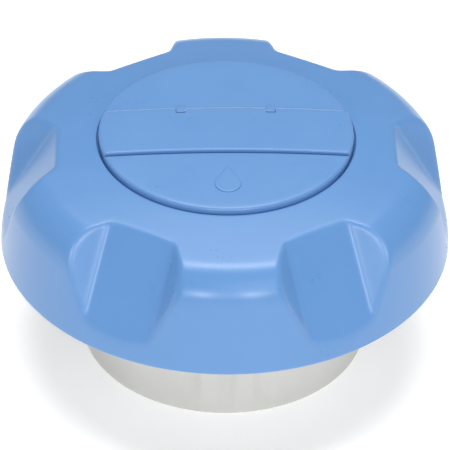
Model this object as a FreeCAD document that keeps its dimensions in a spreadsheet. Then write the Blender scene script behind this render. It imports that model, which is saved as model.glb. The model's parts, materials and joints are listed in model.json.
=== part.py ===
"""Lockable screw-on tank filler cap: a six-lobed grip that turns on a threaded cup, with a key lock and a breather.

Millimetres. The origin is the centre of the cup's mouth, where the cap stands; +Z runs up the axis to the grip's
deck, and -Y is the front, where the middle of one lobe points. The lock bolt slides along +X.
"""

import FreeCAD, Part
import math
import os

import Sketcher
from FreeCAD import Placement, Rotation, Vector

doc = FreeCAD.newDocument("filler_cap")


# ---------------------------------------------------------------------------------------------------------------
# Sizes: one spreadsheet row each. A Size carries its number and the expression that gives it from the sheet.
# ---------------------------------------------------------------------------------------------------------------


class Size:
    """A dimension with its number now and its spreadsheet expression for later."""

    def __init__(self, value, text):
        self.value = value
        self.text = text

    def _join(self, other, sign, result, flipped=False):
        other = as_size(other)
        left, right = (other, self) if flipped else (self, other)
        return Size(result(left.value, right.value), f"({left.text} {sign} {right.text})")

    def __add__(self, other):
        return self._join(other, "+", lambda a, b: a + b)

    def __radd__(self, other):
        return self._join(other, "+", lambda a, b: a + b, True)

    def __sub__(self, other):
        return self._join(other, "-", lambda a, b: a - b)

    def __rsub__(self, other):
        return self._join(other, "-", lambda a, b: a - b, True)

    def __mul__(self, other):
        return self._join(other, "*", lambda a, b: a * b)

    def __rmul__(self, other):
        return self._join(other, "*", lambda a, b: a * b, True)

    def __truediv__(self, other):
        return self._join(other, "/", lambda a, b: a / b)

    def __rtruediv__(self, other):
        return self._join(other, "/", lambda a, b: a / b, True)

    def __neg__(self):
        return Size(-self.value, f"(-1 * {self.text})")


def as_size(value):
    return value if isinstance(value, Size) else Size(float(value), repr(float(value)))


def root(size):
    return Size(math.sqrt(size.value), f"sqrt({size.text})")


def sine(angle):
    return Size(math.sin(math.radians(angle.value)), f"sin({angle.text})")


def cosine(angle):
    return Size(math.cos(math.radians(angle.value)), f"cos({angle.text})")


def tangent(angle):
    return Size(math.tan(math.radians(angle.value)), f"tan({angle.text})")


sheet = doc.addObject("Spreadsheet::Sheet", "dims")
sheet_rows = []


def dim(alias, value, note):
    """Writes one driving dimension to the next row of the sheet and returns it."""
    sheet_rows.append(alias)
    row = len(sheet_rows)
    sheet.set(f"A{row}", note)
    sheet.set(f"B{row}", str(value))
    sheet.setAlias(f"B{row}", alias)
    return Size(float(value), f"dims.{alias}")


# Fits shared by several pieces
run_gap = dim("run_gap", 0.3, "gap between a turning piece and its neighbour")
shaft_gap = dim("shaft_gap", 0.05, "radial gap of a running fit")
slide_gap = dim("slide_gap", 0.2, "gap round the sliding bolt")

# Threaded cup
neck_radius = dim("neck_radius", 30.0, "outside radius of the filler neck")
neck_gap = dim("neck_gap", 0.2, "radial gap between neck and guide bore")
cup_wall = dim("cup_wall", 2.8, "wall of the cup")
cup_height = dim("cup_height", 33.6, "mouth to the top of the roof")
roof_thickness = dim("roof_thickness", 2.6, "roof of the cup")
mouth_round = dim("mouth_round", 1.8, "rounding of the cup's lower outer edge")
mouth_chamfer = dim("mouth_chamfer", 0.4, "lead-in chamfer of the bore")
guide_length = dim("guide_length", 7.0, "mouth to the end of the plain guide bore")
thread_relief = dim("thread_relief", 0.7, "threaded bore wider than the guide bore")
thread_depth = dim("thread_depth", 1.1, "height of a thread lug over the bore")
thread_root = dim("thread_root", 3.0, "width of a thread lug at the wall")
thread_crest = dim("thread_crest", 1.5, "width of a thread lug at its crest")
thread_level = dim("thread_level", 12.5, "height of the lugs' middles over the mouth")
thread_lead = dim("thread_lead", 12.0, "rise of one full turn")
thread_span = dim("thread_span", 100.0, "degrees that one lug covers")
thread_starts = dim("thread_starts", 3, "number of lugs")
flange_width = dim("flange_width", 4.2, "flange beyond the cup's wall")
flange_thickness = dim("flange_thickness", 2.3, "flange at roof level")
crown_inset = dim("crown_inset", 4.0, "cup's outside to the notched ring's outside")
crown_wall = dim("crown_wall", 3.0, "wall of the notched ring")
crown_height = dim("crown_height", 6.9, "notched ring over the roof")
notch_count = dim("notch_count", 12, "notches for the bolt")
notch_depth = dim("notch_depth", 4.0, "depth of a notch from the ring's top")
notch_gap = dim("notch_gap", 0.4, "gap each side of the bolt in a notch")
flute_radius = dim("flute_radius", 3.0, "radius of an upright flute")
flute_depth = dim("flute_depth", 0.6, "depth of a flute")
flute_step = dim("flute_step", 14.2, "degrees between flutes of one group")
flute_groups = dim("flute_groups", 3, "groups of three flutes")
flute_end_gap = dim("flute_end_gap", 1.2, "plain wall above and below a flute")
gasket_thickness = dim("gasket_thickness", 2.4, "neck gasket")
gasket_width = dim("gasket_width", 5.4, "neck gasket, inner to outer radius")
gasket_fit = dim("gasket_fit", 0.05, "radial gap between gasket and bore")
washer_thickness = dim("washer_thickness", 0.8, "slip washer")
washer_inset = dim("washer_inset", 0.4, "slip washer inside the flange's edge")

# Grip shell
grip_overhang = dim("grip_overhang", 14.8, "flange edge to the shell's rim")
rim_lip = dim("rim_lip", 1.9, "rim below the retaining plate")
shell_height = dim("shell_height", 30.7, "rim to the top of the deck's crown")
shell_wall = dim("shell_wall", 2.4, "wall of the shell")
deck_radius = dim("deck_radius", 208.0, "spherical radius of the deck")
shoulder_round = dim("shoulder_round", 10.4, "rounding between deck and skirt")
skirt_draft = dim("skirt_draft", 3.9, "draft of the skirt in degrees")
recess_count = dim("recess_count", 6, "finger recesses")
recess_reach = dim("recess_reach", 13.1, "rim radius to the upper edge of a recess")
recess_slope = dim("recess_slope", 60.0, "slope of a recess floor in degrees")
recess_half = dim("recess_half", 8.2, "half width of a recess floor")
recess_draft = dim("recess_draft", 52.0, "spread of the recess sides in degrees")
boss_radius = dim("boss_radius", 3.3, "screw boss")
boss_gap = dim("boss_gap", 2.0, "flange edge to a screw boss")
rib_thickness = dim("rib_thickness", 1.6, "rib between boss and bearing tube")
tube_wall = dim("tube_wall", 2.2, "bearing tube round the notched ring")
tube_gap = dim("tube_gap", 0.6, "bearing tube to the notched ring")
floor_thickness = dim("floor_thickness", 2.4, "floor of the lock well")
well_wall = dim("well_wall", 2.8, "wall of the lock well")

# Retaining plate and its screws
plate_thickness = dim("plate_thickness", 2.4, "retaining plate")
plate_edge_gap = dim("plate_edge_gap", 0.6, "plate to the inside of the skirt")
screw_radius = dim("screw_radius", 1.25, "shank of every screw")
screw_free = dim("screw_free", 0.25, "radial gap of a screw in its clearance hole")
screw_head = dim("screw_head", 2.6, "radius of a screw head")
screw_head_height = dim("screw_head_height", 1.4, "height of a screw head")
screw_bite = dim("screw_bite", 9.0, "length of a plate screw in its boss")

# Cover disc and key flap
deck_ring = dim("deck_ring", 22.7, "rim radius to the cover disc's edge")
disc_gap = dim("disc_gap", 0.4, "open joint round the disc")
disc_stand = dim("disc_stand", 1.2, "disc edge over the deck")
disc_seat = dim("disc_seat", 1.7, "depth of the disc's seat in the deck")
disc_dome = dim("disc_dome", 400.0, "spherical radius of the disc's top")
disc_round = dim("disc_round", 0.75, "rounding of the disc's upper edge")
ledge_width = dim("ledge_width", 2.2, "seat under the disc's edge")
spigot_height = dim("spigot_height", 3.0, "locating ring under the disc")
spigot_wall = dim("spigot_wall", 1.9, "wall of that ring")
spigot_fit = dim("spigot_fit", 0.2, "radial gap round that ring")
seal_width = dim("seal_width", 1.2, "weather seal")
seal_thickness = dim("seal_thickness", 0.6, "weather seal")
band_half = dim("band_half", 8.3, "half width of the key flap")
band_rise = dim("band_rise", 0.5, "key flap over the disc")
band_floor = dim("band_floor", 1.8, "disc thickness under the key flap")
band_gap = dim("band_gap", 0.25, "gap under and round the key flap")
knuckle_radius = dim("knuckle_radius", 0.62, "flap hinge knuckle")
pin_radius = dim("pin_radius", 0.35, "flap hinge pin")
knuckle_half = dim("knuckle_half", 9.3, "half length of the flap's knuckle")
lug_width = dim("lug_width", 1.7, "hinge lugs of the disc")
mark_radius = dim("mark_radius", 3.0, "round end of the raised drop mark")
mark_tip = dim("mark_tip", 6.2, "tip of the drop mark from the centre of its round end")
mark_place = dim("mark_place", 20.4, "centre of the drop mark in front of the axis")
mark_rise = dim("mark_rise", 0.3, "height of the drop mark")

# Lock and bolt
lock_radius = dim("lock_radius", 9.0, "lock housing")
lock_flange = dim("lock_flange", 2.0, "lock housing's collar, width and height")
lock_sink = dim("lock_sink", 0.3, "lock face below the flap's seat")
plug_radius = dim("plug_radius", 6.0, "lock plug")
keyway_length = dim("keyway_length", 8.0, "keyway across the plug's face")
keyway_width = dim("keyway_width", 2.0, "keyway")
wafer_thickness = dim("wafer_thickness", 0.8, "one wafer")
wafer_length = dim("wafer_length", 10.4, "one wafer")
wafer_width = dim("wafer_width", 5.0, "one wafer")
wafer_count = 5
tail_width = dim("tail_width", 3.6, "square tail of the plug")
circlip_width = dim("circlip_width", 2.2, "circlip beyond the lock housing")
circlip_thickness = dim("circlip_thickness", 0.8, "circlip")
cam_thickness = dim("cam_thickness", 1.6, "scroll cam")
cam_margin = dim("cam_margin", 1.5, "cam beyond its slot")
bolt_thickness = dim("bolt_thickness", 2.2, "locking bolt")
bolt_half = dim("bolt_half", 2.7, "half width of the bolt")
bolt_pin_radius = dim("bolt_pin_radius", 1.2, "drive pin on the bolt")
bolt_pin_start = dim("bolt_pin_start", 5.0, "drive pin from the axis, bolt drawn in")
bolt_travel = dim("bolt_travel", 4.0, "bolt's travel in a quarter turn of the plug")
bolt_tip_gap = dim("bolt_tip_gap", 1.2, "drawn-in bolt to the notched ring")
carrier_gap = dim("carrier_gap", 0.7, "bolt housing to the notched ring")
cover_thickness = dim("cover_thickness", 2.0, "bolt cover")
housing_screw_inset = dim("housing_screw_inset", 6.3, "bolt housing's edge to its screws")
housing_screw_count = 3
housing_roof = dim("housing_roof", 1.8, "circlip space over the cam")

# Breather
vent_radius = dim("vent_radius", 8.0, "outside of the vent housing")
vent_wall = dim("vent_wall", 1.8, "wall of the vent housing")
vent_drop = dim("vent_drop", 13.6, "roof top to the vent housing's lower end")
vent_lip = dim("vent_lip", 1.6, "valve seat of the vent housing")
vent_seat_hole = dim("vent_seat_hole", 3.8, "radius of the seat's hole")
vent_flange = dim("vent_flange", 3.0, "width of the vent housing's flange")
vent_flange_height = dim("vent_flange_height", 2.4, "height of that flange")
ring_section = dim("ring_section", 0.55, "section radius of the O-ring")
poppet_radius = dim("poppet_radius", 5.6, "pressure poppet")
poppet_thickness = dim("poppet_thickness", 1.6, "pressure poppet")
poppet_boss = dim("poppet_boss", 3.2, "spring guide on the poppet")
poppet_boss_height = dim("poppet_boss_height", 1.2, "spring guide on the poppet")
stem_radius = dim("stem_radius", 1.1, "stem of the vacuum disc")
stem_length = dim("stem_length", 5.9, "stem over the poppet's seat")
stem_head = dim("stem_head", 2.3, "head of the stem")
stem_head_height = dim("stem_head_height", 0.8, "head of the stem")
vacuum_radius = dim("vacuum_radius", 3.4, "vacuum disc")
vacuum_thickness = dim("vacuum_thickness", 1.2, "vacuum disc")
vent_cap_thickness = dim("vent_cap_thickness", 1.8, "vent cap")
vent_cap_sink = dim("vent_cap_sink", 0.4, "vent cap below the roof's top")
vent_hole = dim("vent_hole", 2.5, "hole in the vent cap")
membrane_thickness = dim("membrane_thickness", 0.3, "vent membrane")
guard_wall = dim("guard_wall", 1.4, "splash guard")
guard_height = dim("guard_height", 7.5, "splash guard")
guard_drop = dim("guard_drop", 3.5, "splash guard below the vent housing")
guard_hole = dim("guard_hole", 1.1, "radius of a splash guard hole")
spring_wire = dim("spring_wire", 0.35, "wire radius of the pressure spring")
spring_turns = dim("spring_turns", 5, "turns of the pressure spring")
small_wire = dim("small_wire", 0.3, "wire radius of the vacuum spring")
small_turns = dim("small_turns", 3, "turns of the vacuum spring")

# Radii and levels that follow from them
bore_radius = neck_radius + neck_gap
thread_bore = bore_radius + thread_relief
cup_radius = bore_radius + cup_wall
flange_radius = cup_radius + flange_width
roof_level = cup_height - roof_thickness
flange_level = cup_height - flange_thickness
crown_radius = cup_radius - crown_inset
crown_bore = crown_radius - crown_wall
gasket_level = roof_level - gasket_thickness
washer_top = cup_height + washer_thickness
rim_radius = flange_radius + grip_overhang
plate_top = flange_level - run_gap
plate_level = plate_top - plate_thickness
rim_level = plate_level - rim_lip
deck_top = rim_level + shell_height
disc_radius = rim_radius - deck_ring
boss_circle = flange_radius + boss_gap + boss_radius
carrier_radius = crown_bore - carrier_gap
cover_level = washer_top + run_gap + slide_gap
bolt_level = cover_level + cover_thickness + slide_gap
bolt_top = bolt_level + bolt_thickness
cam_level = bolt_top + run_gap
cam_top = cam_level + cam_thickness
floor_level = cam_top + housing_roof
floor_top = floor_level + floor_thickness
well_radius = disc_radius - ledge_width
seat_level = deck_top - deck_radius + root(deck_radius * deck_radius - disc_radius * disc_radius) - disc_seat
disc_edge_level = seat_level + disc_seat + disc_stand
dome_rise = disc_dome - root(disc_dome * disc_dome - disc_radius * disc_radius)
slot_level = seat_level + band_floor
lock_face = slot_level - lock_sink
hinge_y = band_half - knuckle_radius
flap_top = disc_edge_level + dome_rise + band_rise
hinge_z = flap_top - disc_dome + root(disc_dome * disc_dome - hinge_y * hinge_y) - knuckle_radius
vent_level = cup_height - vent_drop
valve_seat = vent_level + vent_lip
vent_bore = vent_radius - vent_wall
vent_cap_top = cup_height - vent_cap_sink
vent_cap_level = vent_cap_top - vent_cap_thickness


# ---------------------------------------------------------------------------------------------------------------
# Helpers
# ---------------------------------------------------------------------------------------------------------------

nodes = []


def bind(target, **properties):
    """Binds properties to sheet expressions; a double underscore stands for a dot."""
    for name, size in properties.items():
        size = as_size(size)
        target.setExpression(name.replace("__", "."), size.text)


def node(target, label):
    """Marks an object as a finished piece under its node name."""
    target.Label = label
    nodes.append(target)
    return target


def new_body(name):
    return doc.addObject("PartDesign::Body", name)


def origin_feature(body, role):
    return next(f for f in body.Origin.OriginFeatures if f.Role == role)


def new_sketch(body, name, plane="XZ_Plane"):
    sketch = body.newObject("Sketcher::SketchObject", name)
    sketch.AttachmentSupport = (origin_feature(body, plane), [""])
    sketch.MapMode = "FlatFace"
    return sketch


def fix_point(sketch, geometry, point, x, y=None):
    """Holds one point of a sketch at x, y from the sketch's origin, or at x alone."""
    places = [("DistanceX", as_size(x))]
    if y is not None:
        places.append(("DistanceY", as_size(y)))
    for kind, size in places:
        index = sketch.addConstraint(Sketcher.Constraint(kind, -1, 1, geometry, point, size.value))
        name = f"{kind[-1].lower()}{geometry}_{point}"
        sketch.renameConstraint(index, name)
        sketch.setExpression(f"Constraints.{name}", size.text)


def outline(sketch, corners, arcs=None):
    """Draws a closed outline through corners; arcs maps a side's index to its radius, bulging to the right."""
    arcs = arcs or {}
    corners = [(as_size(x), as_size(y)) for x, y in corners]
    ends = []
    for i, (x, y) in enumerate(corners):
        start = Vector(x.value, y.value, 0)
        after = corners[(i + 1) % len(corners)]
        end = Vector(after[0].value, after[1].value, 0)
        if i not in arcs:
            ends.append((sketch.addGeometry(Part.LineSegment(start, end)), 1, 2))
            continue
        radius = arcs[i].value
        chord = end - start
        left = Vector(-chord.y, chord.x, 0).normalize()
        centre = (start + end) / 2 + left * math.sqrt(radius**2 - (chord.Length / 2) ** 2)
        angles = [math.atan2(p.y - centre.y, p.x - centre.x) for p in (start, end)]
        arc = Part.ArcOfCircle(Part.Circle(centre, Vector(0, 0, 1), radius), *angles)
        ends.append((sketch.addGeometry(arc), 1, 2))
    for i, (geometry, first, last) in enumerate(ends):
        following = ends[(i + 1) % len(ends)]
        sketch.addConstraint(Sketcher.Constraint("Coincident", geometry, last, following[0], following[1]))
        fix_point(sketch, geometry, first, *corners[i])
        if i in arcs:
            index = sketch.addConstraint(Sketcher.Constraint("Radius", geometry, arcs[i].value))
            sketch.renameConstraint(index, f"radius{geometry}")
            sketch.setExpression(f"Constraints.radius{geometry}", arcs[i].text)


def circle(sketch, x, y, radius):
    radius = as_size(radius)
    centre = Vector(as_size(x).value, as_size(y).value, 0)
    geometry = sketch.addGeometry(Part.Circle(centre, Vector(0, 0, 1), radius.value))
    fix_point(sketch, geometry, 3, x, y)
    index = sketch.addConstraint(Sketcher.Constraint("Radius", geometry, radius.value))
    sketch.renameConstraint(index, f"radius{geometry}")
    sketch.setExpression(f"Constraints.radius{geometry}", radius.text)


def rectangle(x0, x1, y0, y1):
    return [(x0, y0), (x1, y0), (x1, y1), (x0, y1)]


def turned(name, corners, arcs=None):
    """A body turned about Z from corners given as (radius, height), anticlockwise."""
    body = new_body(name)
    sketch = new_sketch(body, f"{name}_profile")
    outline(sketch, corners, arcs)
    turn = body.newObject("PartDesign::Revolution", f"{name}_turn")
    turn.Profile = sketch
    turn.ReferenceAxis = (sketch, ["V_Axis"])
    turn.Angle = 360
    body.Tip = turn
    return body


def ring(name, inner, outer, bottom, top):
    return turned(name, rectangle(inner, outer, bottom, top))


def raised_sketch(body, name, level):
    """A sketch parallel to the base plane at a height."""
    sketch = new_sketch(body, name, "XY_Plane")
    bind(sketch, AttachmentOffset__Base__z=level)
    return sketch


def pad(body, sketch, height):
    feature = body.newObject("PartDesign::Pad", f"{sketch.Name}_pad")
    feature.Profile = sketch
    bind(feature, Length=height)
    body.Tip = feature
    return feature


def pocket_up(body, sketch, height):
    """Cuts upwards from the sketch, and stops the build if nothing was cut away."""
    doc.recompute()
    before = body.Shape.Volume
    feature = body.newObject("PartDesign::Pocket", f"{sketch.Name}_pocket")
    feature.Profile = sketch
    feature.Reversed = True
    bind(feature, Length=height)
    body.Tip = feature
    doc.recompute()
    if not body.Shape.Volume < before - 1e-6:
        raise RuntimeError(f"{feature.Name} cuts nothing")
    return feature


def polar(body, feature, count):
    """Repeats a feature round Z."""
    pattern = body.newObject("PartDesign::PolarPattern", f"{feature.Name}_pattern")
    pattern.Originals = [feature]
    pattern.Axis = (origin_feature(body, "Z_Axis"), [""])
    pattern.Angle = 360
    bind(pattern, Occurrences=count)
    body.Tip = pattern
    return pattern


def round_edges(body, radius, pick):
    """Fillets the edges of the body's tip that pick accepts."""
    doc.recompute()
    base = body.Tip
    names = [f"Edge{i + 1}" for i, edge in enumerate(base.Shape.Edges) if pick(edge)]
    feature = body.newObject("PartDesign::Fillet", f"{body.Name}_round")
    feature.Base = (base, names)
    bind(feature, Radius=radius)
    body.Tip = feature


def is_circle(edge, radius, level):
    """True for a circle about Z of this radius at this height."""
    if edge.Degenerated or not isinstance(edge.Curve, Part.Circle):
        return False
    return abs(edge.Curve.Radius - radius.value) < 1e-3 and abs(edge.Curve.Center.z - level.value) < 1e-3


def cylinder(name, radius, height, x=0, y=0, z=0):
    solid = doc.addObject("Part::Cylinder", name)
    bind(solid, Radius=radius, Height=height)
    bind(solid, Placement__Base__x=x, Placement__Base__y=y, Placement__Base__z=z)
    return solid


def block(name, x0, x1, y0, y1, z0, z1):
    solid = doc.addObject("Part::Box", name)
    x0, x1, y0, y1, z0, z1 = (as_size(value) for value in (x0, x1, y0, y1, z0, z1))
    bind(solid, Length=x1 - x0, Width=y1 - y0, Height=z1 - z0)
    bind(solid, Placement__Base__x=x0, Placement__Base__y=y0, Placement__Base__z=z0)
    return solid


def cut(name, base, tool):
    result = doc.addObject("Part::Cut", name)
    result.Base, result.Tool = base, tool
    return result


def common(name, base, tool):
    result = doc.addObject("Part::Common", name)
    result.Base, result.Tool = base, tool
    return result


def fuse(name, shapes):
    result = doc.addObject("Part::MultiFuse", name)
    result.Shapes = shapes
    return result


def compound(name, shapes):
    result = doc.addObject("Part::Compound", name)
    result.Links = shapes
    return result


def round_places(radius, count, first_angle):
    """Yields index and (x, y) of places on a circle, as sizes."""
    for i in range(count):
        angle = math.radians(first_angle + 360.0 * i / count)
        yield i, radius * round(math.cos(angle), 12), radius * round(math.sin(angle), 12)


# ---------------------------------------------------------------------------------------------------------------
# Cup that screws on the neck
# ---------------------------------------------------------------------------------------------------------------


def make_threaded_cup():
    """Turned cup with roof, flange and notched ring, then thread lugs, flutes, notches and the vent's hole."""
    hole = vent_radius
    body = turned(
        "cup",
        [
            (bore_radius + mouth_chamfer, 0),
            (cup_radius, 0),
            (cup_radius, flange_level),
            (flange_radius, flange_level),
            (flange_radius, cup_height),
            (crown_radius, cup_height),
            (crown_radius, cup_height + crown_height),
            (crown_bore, cup_height + crown_height),
            (crown_bore, cup_height),
            (hole, cup_height),
            (hole, roof_level),
            (thread_bore, roof_level),
            (thread_bore, guide_length),
            (bore_radius, guide_length),
            (bore_radius, mouth_chamfer),
        ],
    )
    round_edges(body, mouth_round, lambda edge: is_circle(edge, cup_radius, as_size(0)))

    lug = new_sketch(body, "lug_section")
    lead_angle = Size(
        math.degrees(math.atan(thread_lead.value / (2 * math.pi * bore_radius.value))),
        f"atan({thread_lead.text} / (2 * pi * {bore_radius.text}))",
    )
    lug.AttachmentOffset = Placement(Vector(0, 0, 0), Rotation(Vector(1, 0, 0), 0))
    bind(lug, AttachmentOffset__Rotation__Angle=lead_angle, AttachmentOffset__Base__y=thread_level)
    root_radius = bore_radius + cup_wall / 3
    crest_radius = bore_radius - thread_depth
    outline(
        lug,
        [
            (crest_radius, -thread_crest / 2),
            (root_radius, -thread_root / 2),
            (root_radius, thread_root / 2),
            (crest_radius, thread_crest / 2),
        ],
    )
    sweep = body.newObject("PartDesign::Revolution", "lug_turn")
    sweep.Profile = lug
    sweep.ReferenceAxis = (lug, ["V_Axis"])
    sweep.Midplane = True
    bind(sweep, Angle=thread_span)
    body.Tip = sweep
    polar(body, sweep, thread_starts)

    flutes = raised_sketch(body, "flutes", mouth_round + flute_end_gap)
    flute_circle = cup_radius + flute_radius - flute_depth
    for step in (-1, 0, 1):
        angle = 270 + step * flute_step
        circle(flutes, flute_circle * cosine(angle), flute_circle * sine(angle), flute_radius)
    cut_flutes = pocket_up(body, flutes, plate_level - 2 * flute_end_gap - mouth_round)
    polar(body, cut_flutes, flute_groups)

    notch = raised_sketch(body, "notch", cup_height + crown_height - notch_depth)
    half = bolt_half + notch_gap
    outline(notch, rectangle(crown_bore - 1, crown_radius + 1, -half, half))
    cut_notch = pocket_up(body, notch, notch_depth + 1)
    polar(body, cut_notch, notch_count)
    return node(body, "threaded_cup")


def make_cup_rings():
    """Neck gasket under the roof and slip washer on the flange."""
    gasket_radius = thread_bore - gasket_fit
    node(ring("gasket", gasket_radius - gasket_width, gasket_radius, gasket_level, roof_level), "neck_gasket")
    washer_bore = crown_radius + tube_gap
    node(ring("washer", washer_bore, flange_radius - washer_inset, cup_height, washer_top), "slip_washer")


# ---------------------------------------------------------------------------------------------------------------
# Breather in the cup's roof
# ---------------------------------------------------------------------------------------------------------------


def make_vent_housing():
    """Tube through the roof, with a flange and O-ring groove under it and a valve seat at its foot."""
    flange_edge = vent_radius + vent_flange
    flange_foot = roof_level - vent_flange_height
    groove_mid = vent_radius + vent_flange / 2
    groove_half = ring_section + gasket_fit
    groove_floor = roof_level - 2 * ring_section
    body = turned(
        "vent",
        [
            (vent_seat_hole, vent_level),
            (vent_radius, vent_level),
            (vent_radius, flange_foot),
            (flange_edge, flange_foot),
            (flange_edge, roof_level),
            (groove_mid + groove_half, roof_level),
            (groove_mid + groove_half, groove_floor),
            (groove_mid - groove_half, groove_floor),
            (groove_mid - groove_half, roof_level),
            (vent_radius, roof_level),
            (vent_radius, cup_height),
            (vent_bore, cup_height),
            (vent_bore, valve_seat),
            (vent_seat_hole, valve_seat),
        ],
    )
    node(body, "vent_housing")
    seal = doc.addObject("Part::Torus", "vent_ring")
    bind(seal, Radius1=groove_mid, Radius2=ring_section, Placement__Base__z=roof_level - ring_section)
    node(seal, "vent_oring")


def make_vent_closing():
    """Perforated cap over the springs, its membrane, and the splash guard round the valve's foot."""
    node(ring("vent_lid", vent_hole, vent_bore, vent_cap_level, vent_cap_top), "vent_cap")
    membrane = cylinder("membrane", vent_bore - gasket_fit, membrane_thickness, z=vent_cap_top)
    node(membrane, "vent_membrane")

    guard_level = vent_level - guard_drop
    guard_radius = vent_radius + guard_wall
    guard = turned(
        "guard",
        [
            (0, guard_level),
            (guard_radius, guard_level),
            (guard_radius, guard_level + guard_height),
            (vent_radius, guard_level + guard_height),
            (vent_radius, guard_level + guard_wall),
            (0, guard_level + guard_wall),
        ],
    )
    holes = raised_sketch(guard, "guard_holes", guard_level - 1)
    circle(holes, vent_radius * 0.6, 0, guard_hole)
    cut_holes = pocket_up(guard, holes, guard_wall + 2)
    polar(guard, cut_holes, 6)
    node(guard, "splash_guard")


def make_coil(name, label, radius, wire, bottom, top, turns):
    """A compression spring: a round wire swept along a helix whose ends stop half a wire short of the seats."""
    helix = doc.addObject("Part::Helix", f"{name}_path")
    foot = bottom + 1.5 * wire
    free_height = top - foot - 1.5 * wire
    bind(helix, Pitch=free_height / turns, Height=free_height, Radius=radius)
    bind(helix, Placement__Base__z=foot)
    section = doc.addObject("Part::Circle", f"{name}_section")
    section.Placement = Placement(Vector(0, 0, 0), Rotation(Vector(1, 0, 0), 90))
    bind(section, Radius=wire, Placement__Base__x=radius, Placement__Base__z=foot)
    sweep = doc.addObject("Part::Sweep", name)
    sweep.Sections = [section]
    sweep.Spine = (helix, [])
    sweep.Solid = True
    sweep.Frenet = True
    node(sweep, label)


def make_valves():
    """Pressure poppet that lifts from the seat, and the vacuum disc that hangs in its middle."""
    poppet_top = valve_seat + poppet_thickness
    boss_top = poppet_top + poppet_boss_height
    poppet = turned(
        "poppet",
        [
            (stem_radius + slide_gap, valve_seat),
            (poppet_radius, valve_seat),
            (poppet_radius, poppet_top),
            (poppet_boss, poppet_top),
            (poppet_boss, boss_top),
            (stem_radius + slide_gap, boss_top),
        ],
    )
    node(poppet, "pressure_poppet")
    stem_top = valve_seat + stem_length
    vacuum = turned(
        "vacuum",
        [
            (0, valve_seat - vacuum_thickness),
            (vacuum_radius, valve_seat - vacuum_thickness),
            (vacuum_radius, valve_seat),
            (stem_radius, valve_seat),
            (stem_radius, stem_top),
            (stem_head, stem_top),
            (stem_head, stem_top + stem_head_height),
            (0, stem_top + stem_head_height),
        ],
    )
    node(vacuum, "vacuum_disc")
    spring_radius = poppet_boss + spring_wire + 2 * slide_gap
    make_coil(
        "spring", "pressure_spring", spring_radius, spring_wire, poppet_top, vent_cap_level, spring_turns
    )
    small_radius = stem_radius + small_wire + 2 * slide_gap
    make_coil("small_spring", "vacuum_spring", small_radius, small_wire, boss_top, stem_top, small_turns)


# ---------------------------------------------------------------------------------------------------------------
# Grip
# ---------------------------------------------------------------------------------------------------------------


def lobed_solid(name, inset):
    """The solid inside the grip's outer skin, every face moved inwards by inset."""
    inset = as_size(inset)
    sphere = deck_radius - inset
    rim = rim_radius - inset / cosine(skirt_draft)
    foot = rim_level if inset.value == 0 else rim_level - 1
    lean = tangent(skirt_draft)
    shoulder_radius = rim - (deck_top - rim_level) * lean
    shoulder_level = deck_top - deck_radius + root(sphere * sphere - shoulder_radius * shoulder_radius)
    body = turned(
        name,
        [
            (0, foot),
            (rim + (rim_level - foot) * lean, foot),
            (rim - (shoulder_level - rim_level) * lean, shoulder_level),
            (0, deck_top - inset),
        ],
        arcs={2: sphere},
    )
    body.Tip.Label = f"{name}_turned"
    lean_back = (shoulder_level - rim_level) * lean
    round_edges(body, shoulder_round - inset, lambda edge: is_circle(edge, rim - lean_back, shoulder_level))

    top_edge = rim_radius - recess_reach
    top_level = deck_top - deck_radius + root(deck_radius * deck_radius - top_edge * top_edge)
    floor = new_sketch(body, f"{name}_recess", "XY_Plane")
    floor.AttachmentOffset = Placement(Vector(0, 0, 0), Rotation(Vector(0, 1, 0), recess_slope.value))
    bind(
        floor,
        AttachmentOffset__Rotation__Angle=recess_slope,
        AttachmentOffset__Base__x=top_edge - inset * sine(recess_slope),
        AttachmentOffset__Base__z=top_level - inset * cosine(recess_slope),
    )
    half = recess_half + inset * (1 - sine(recess_draft)) / cosine(recess_draft)
    outline(floor, rectangle(-shoulder_round, 2 * recess_reach / cosine(recess_slope), -half, half))
    recess = pocket_up(body, floor, 1.5 * recess_reach)
    bind(recess, TaperAngle=recess_draft)
    polar(body, recess, recess_count)
    return body


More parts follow.
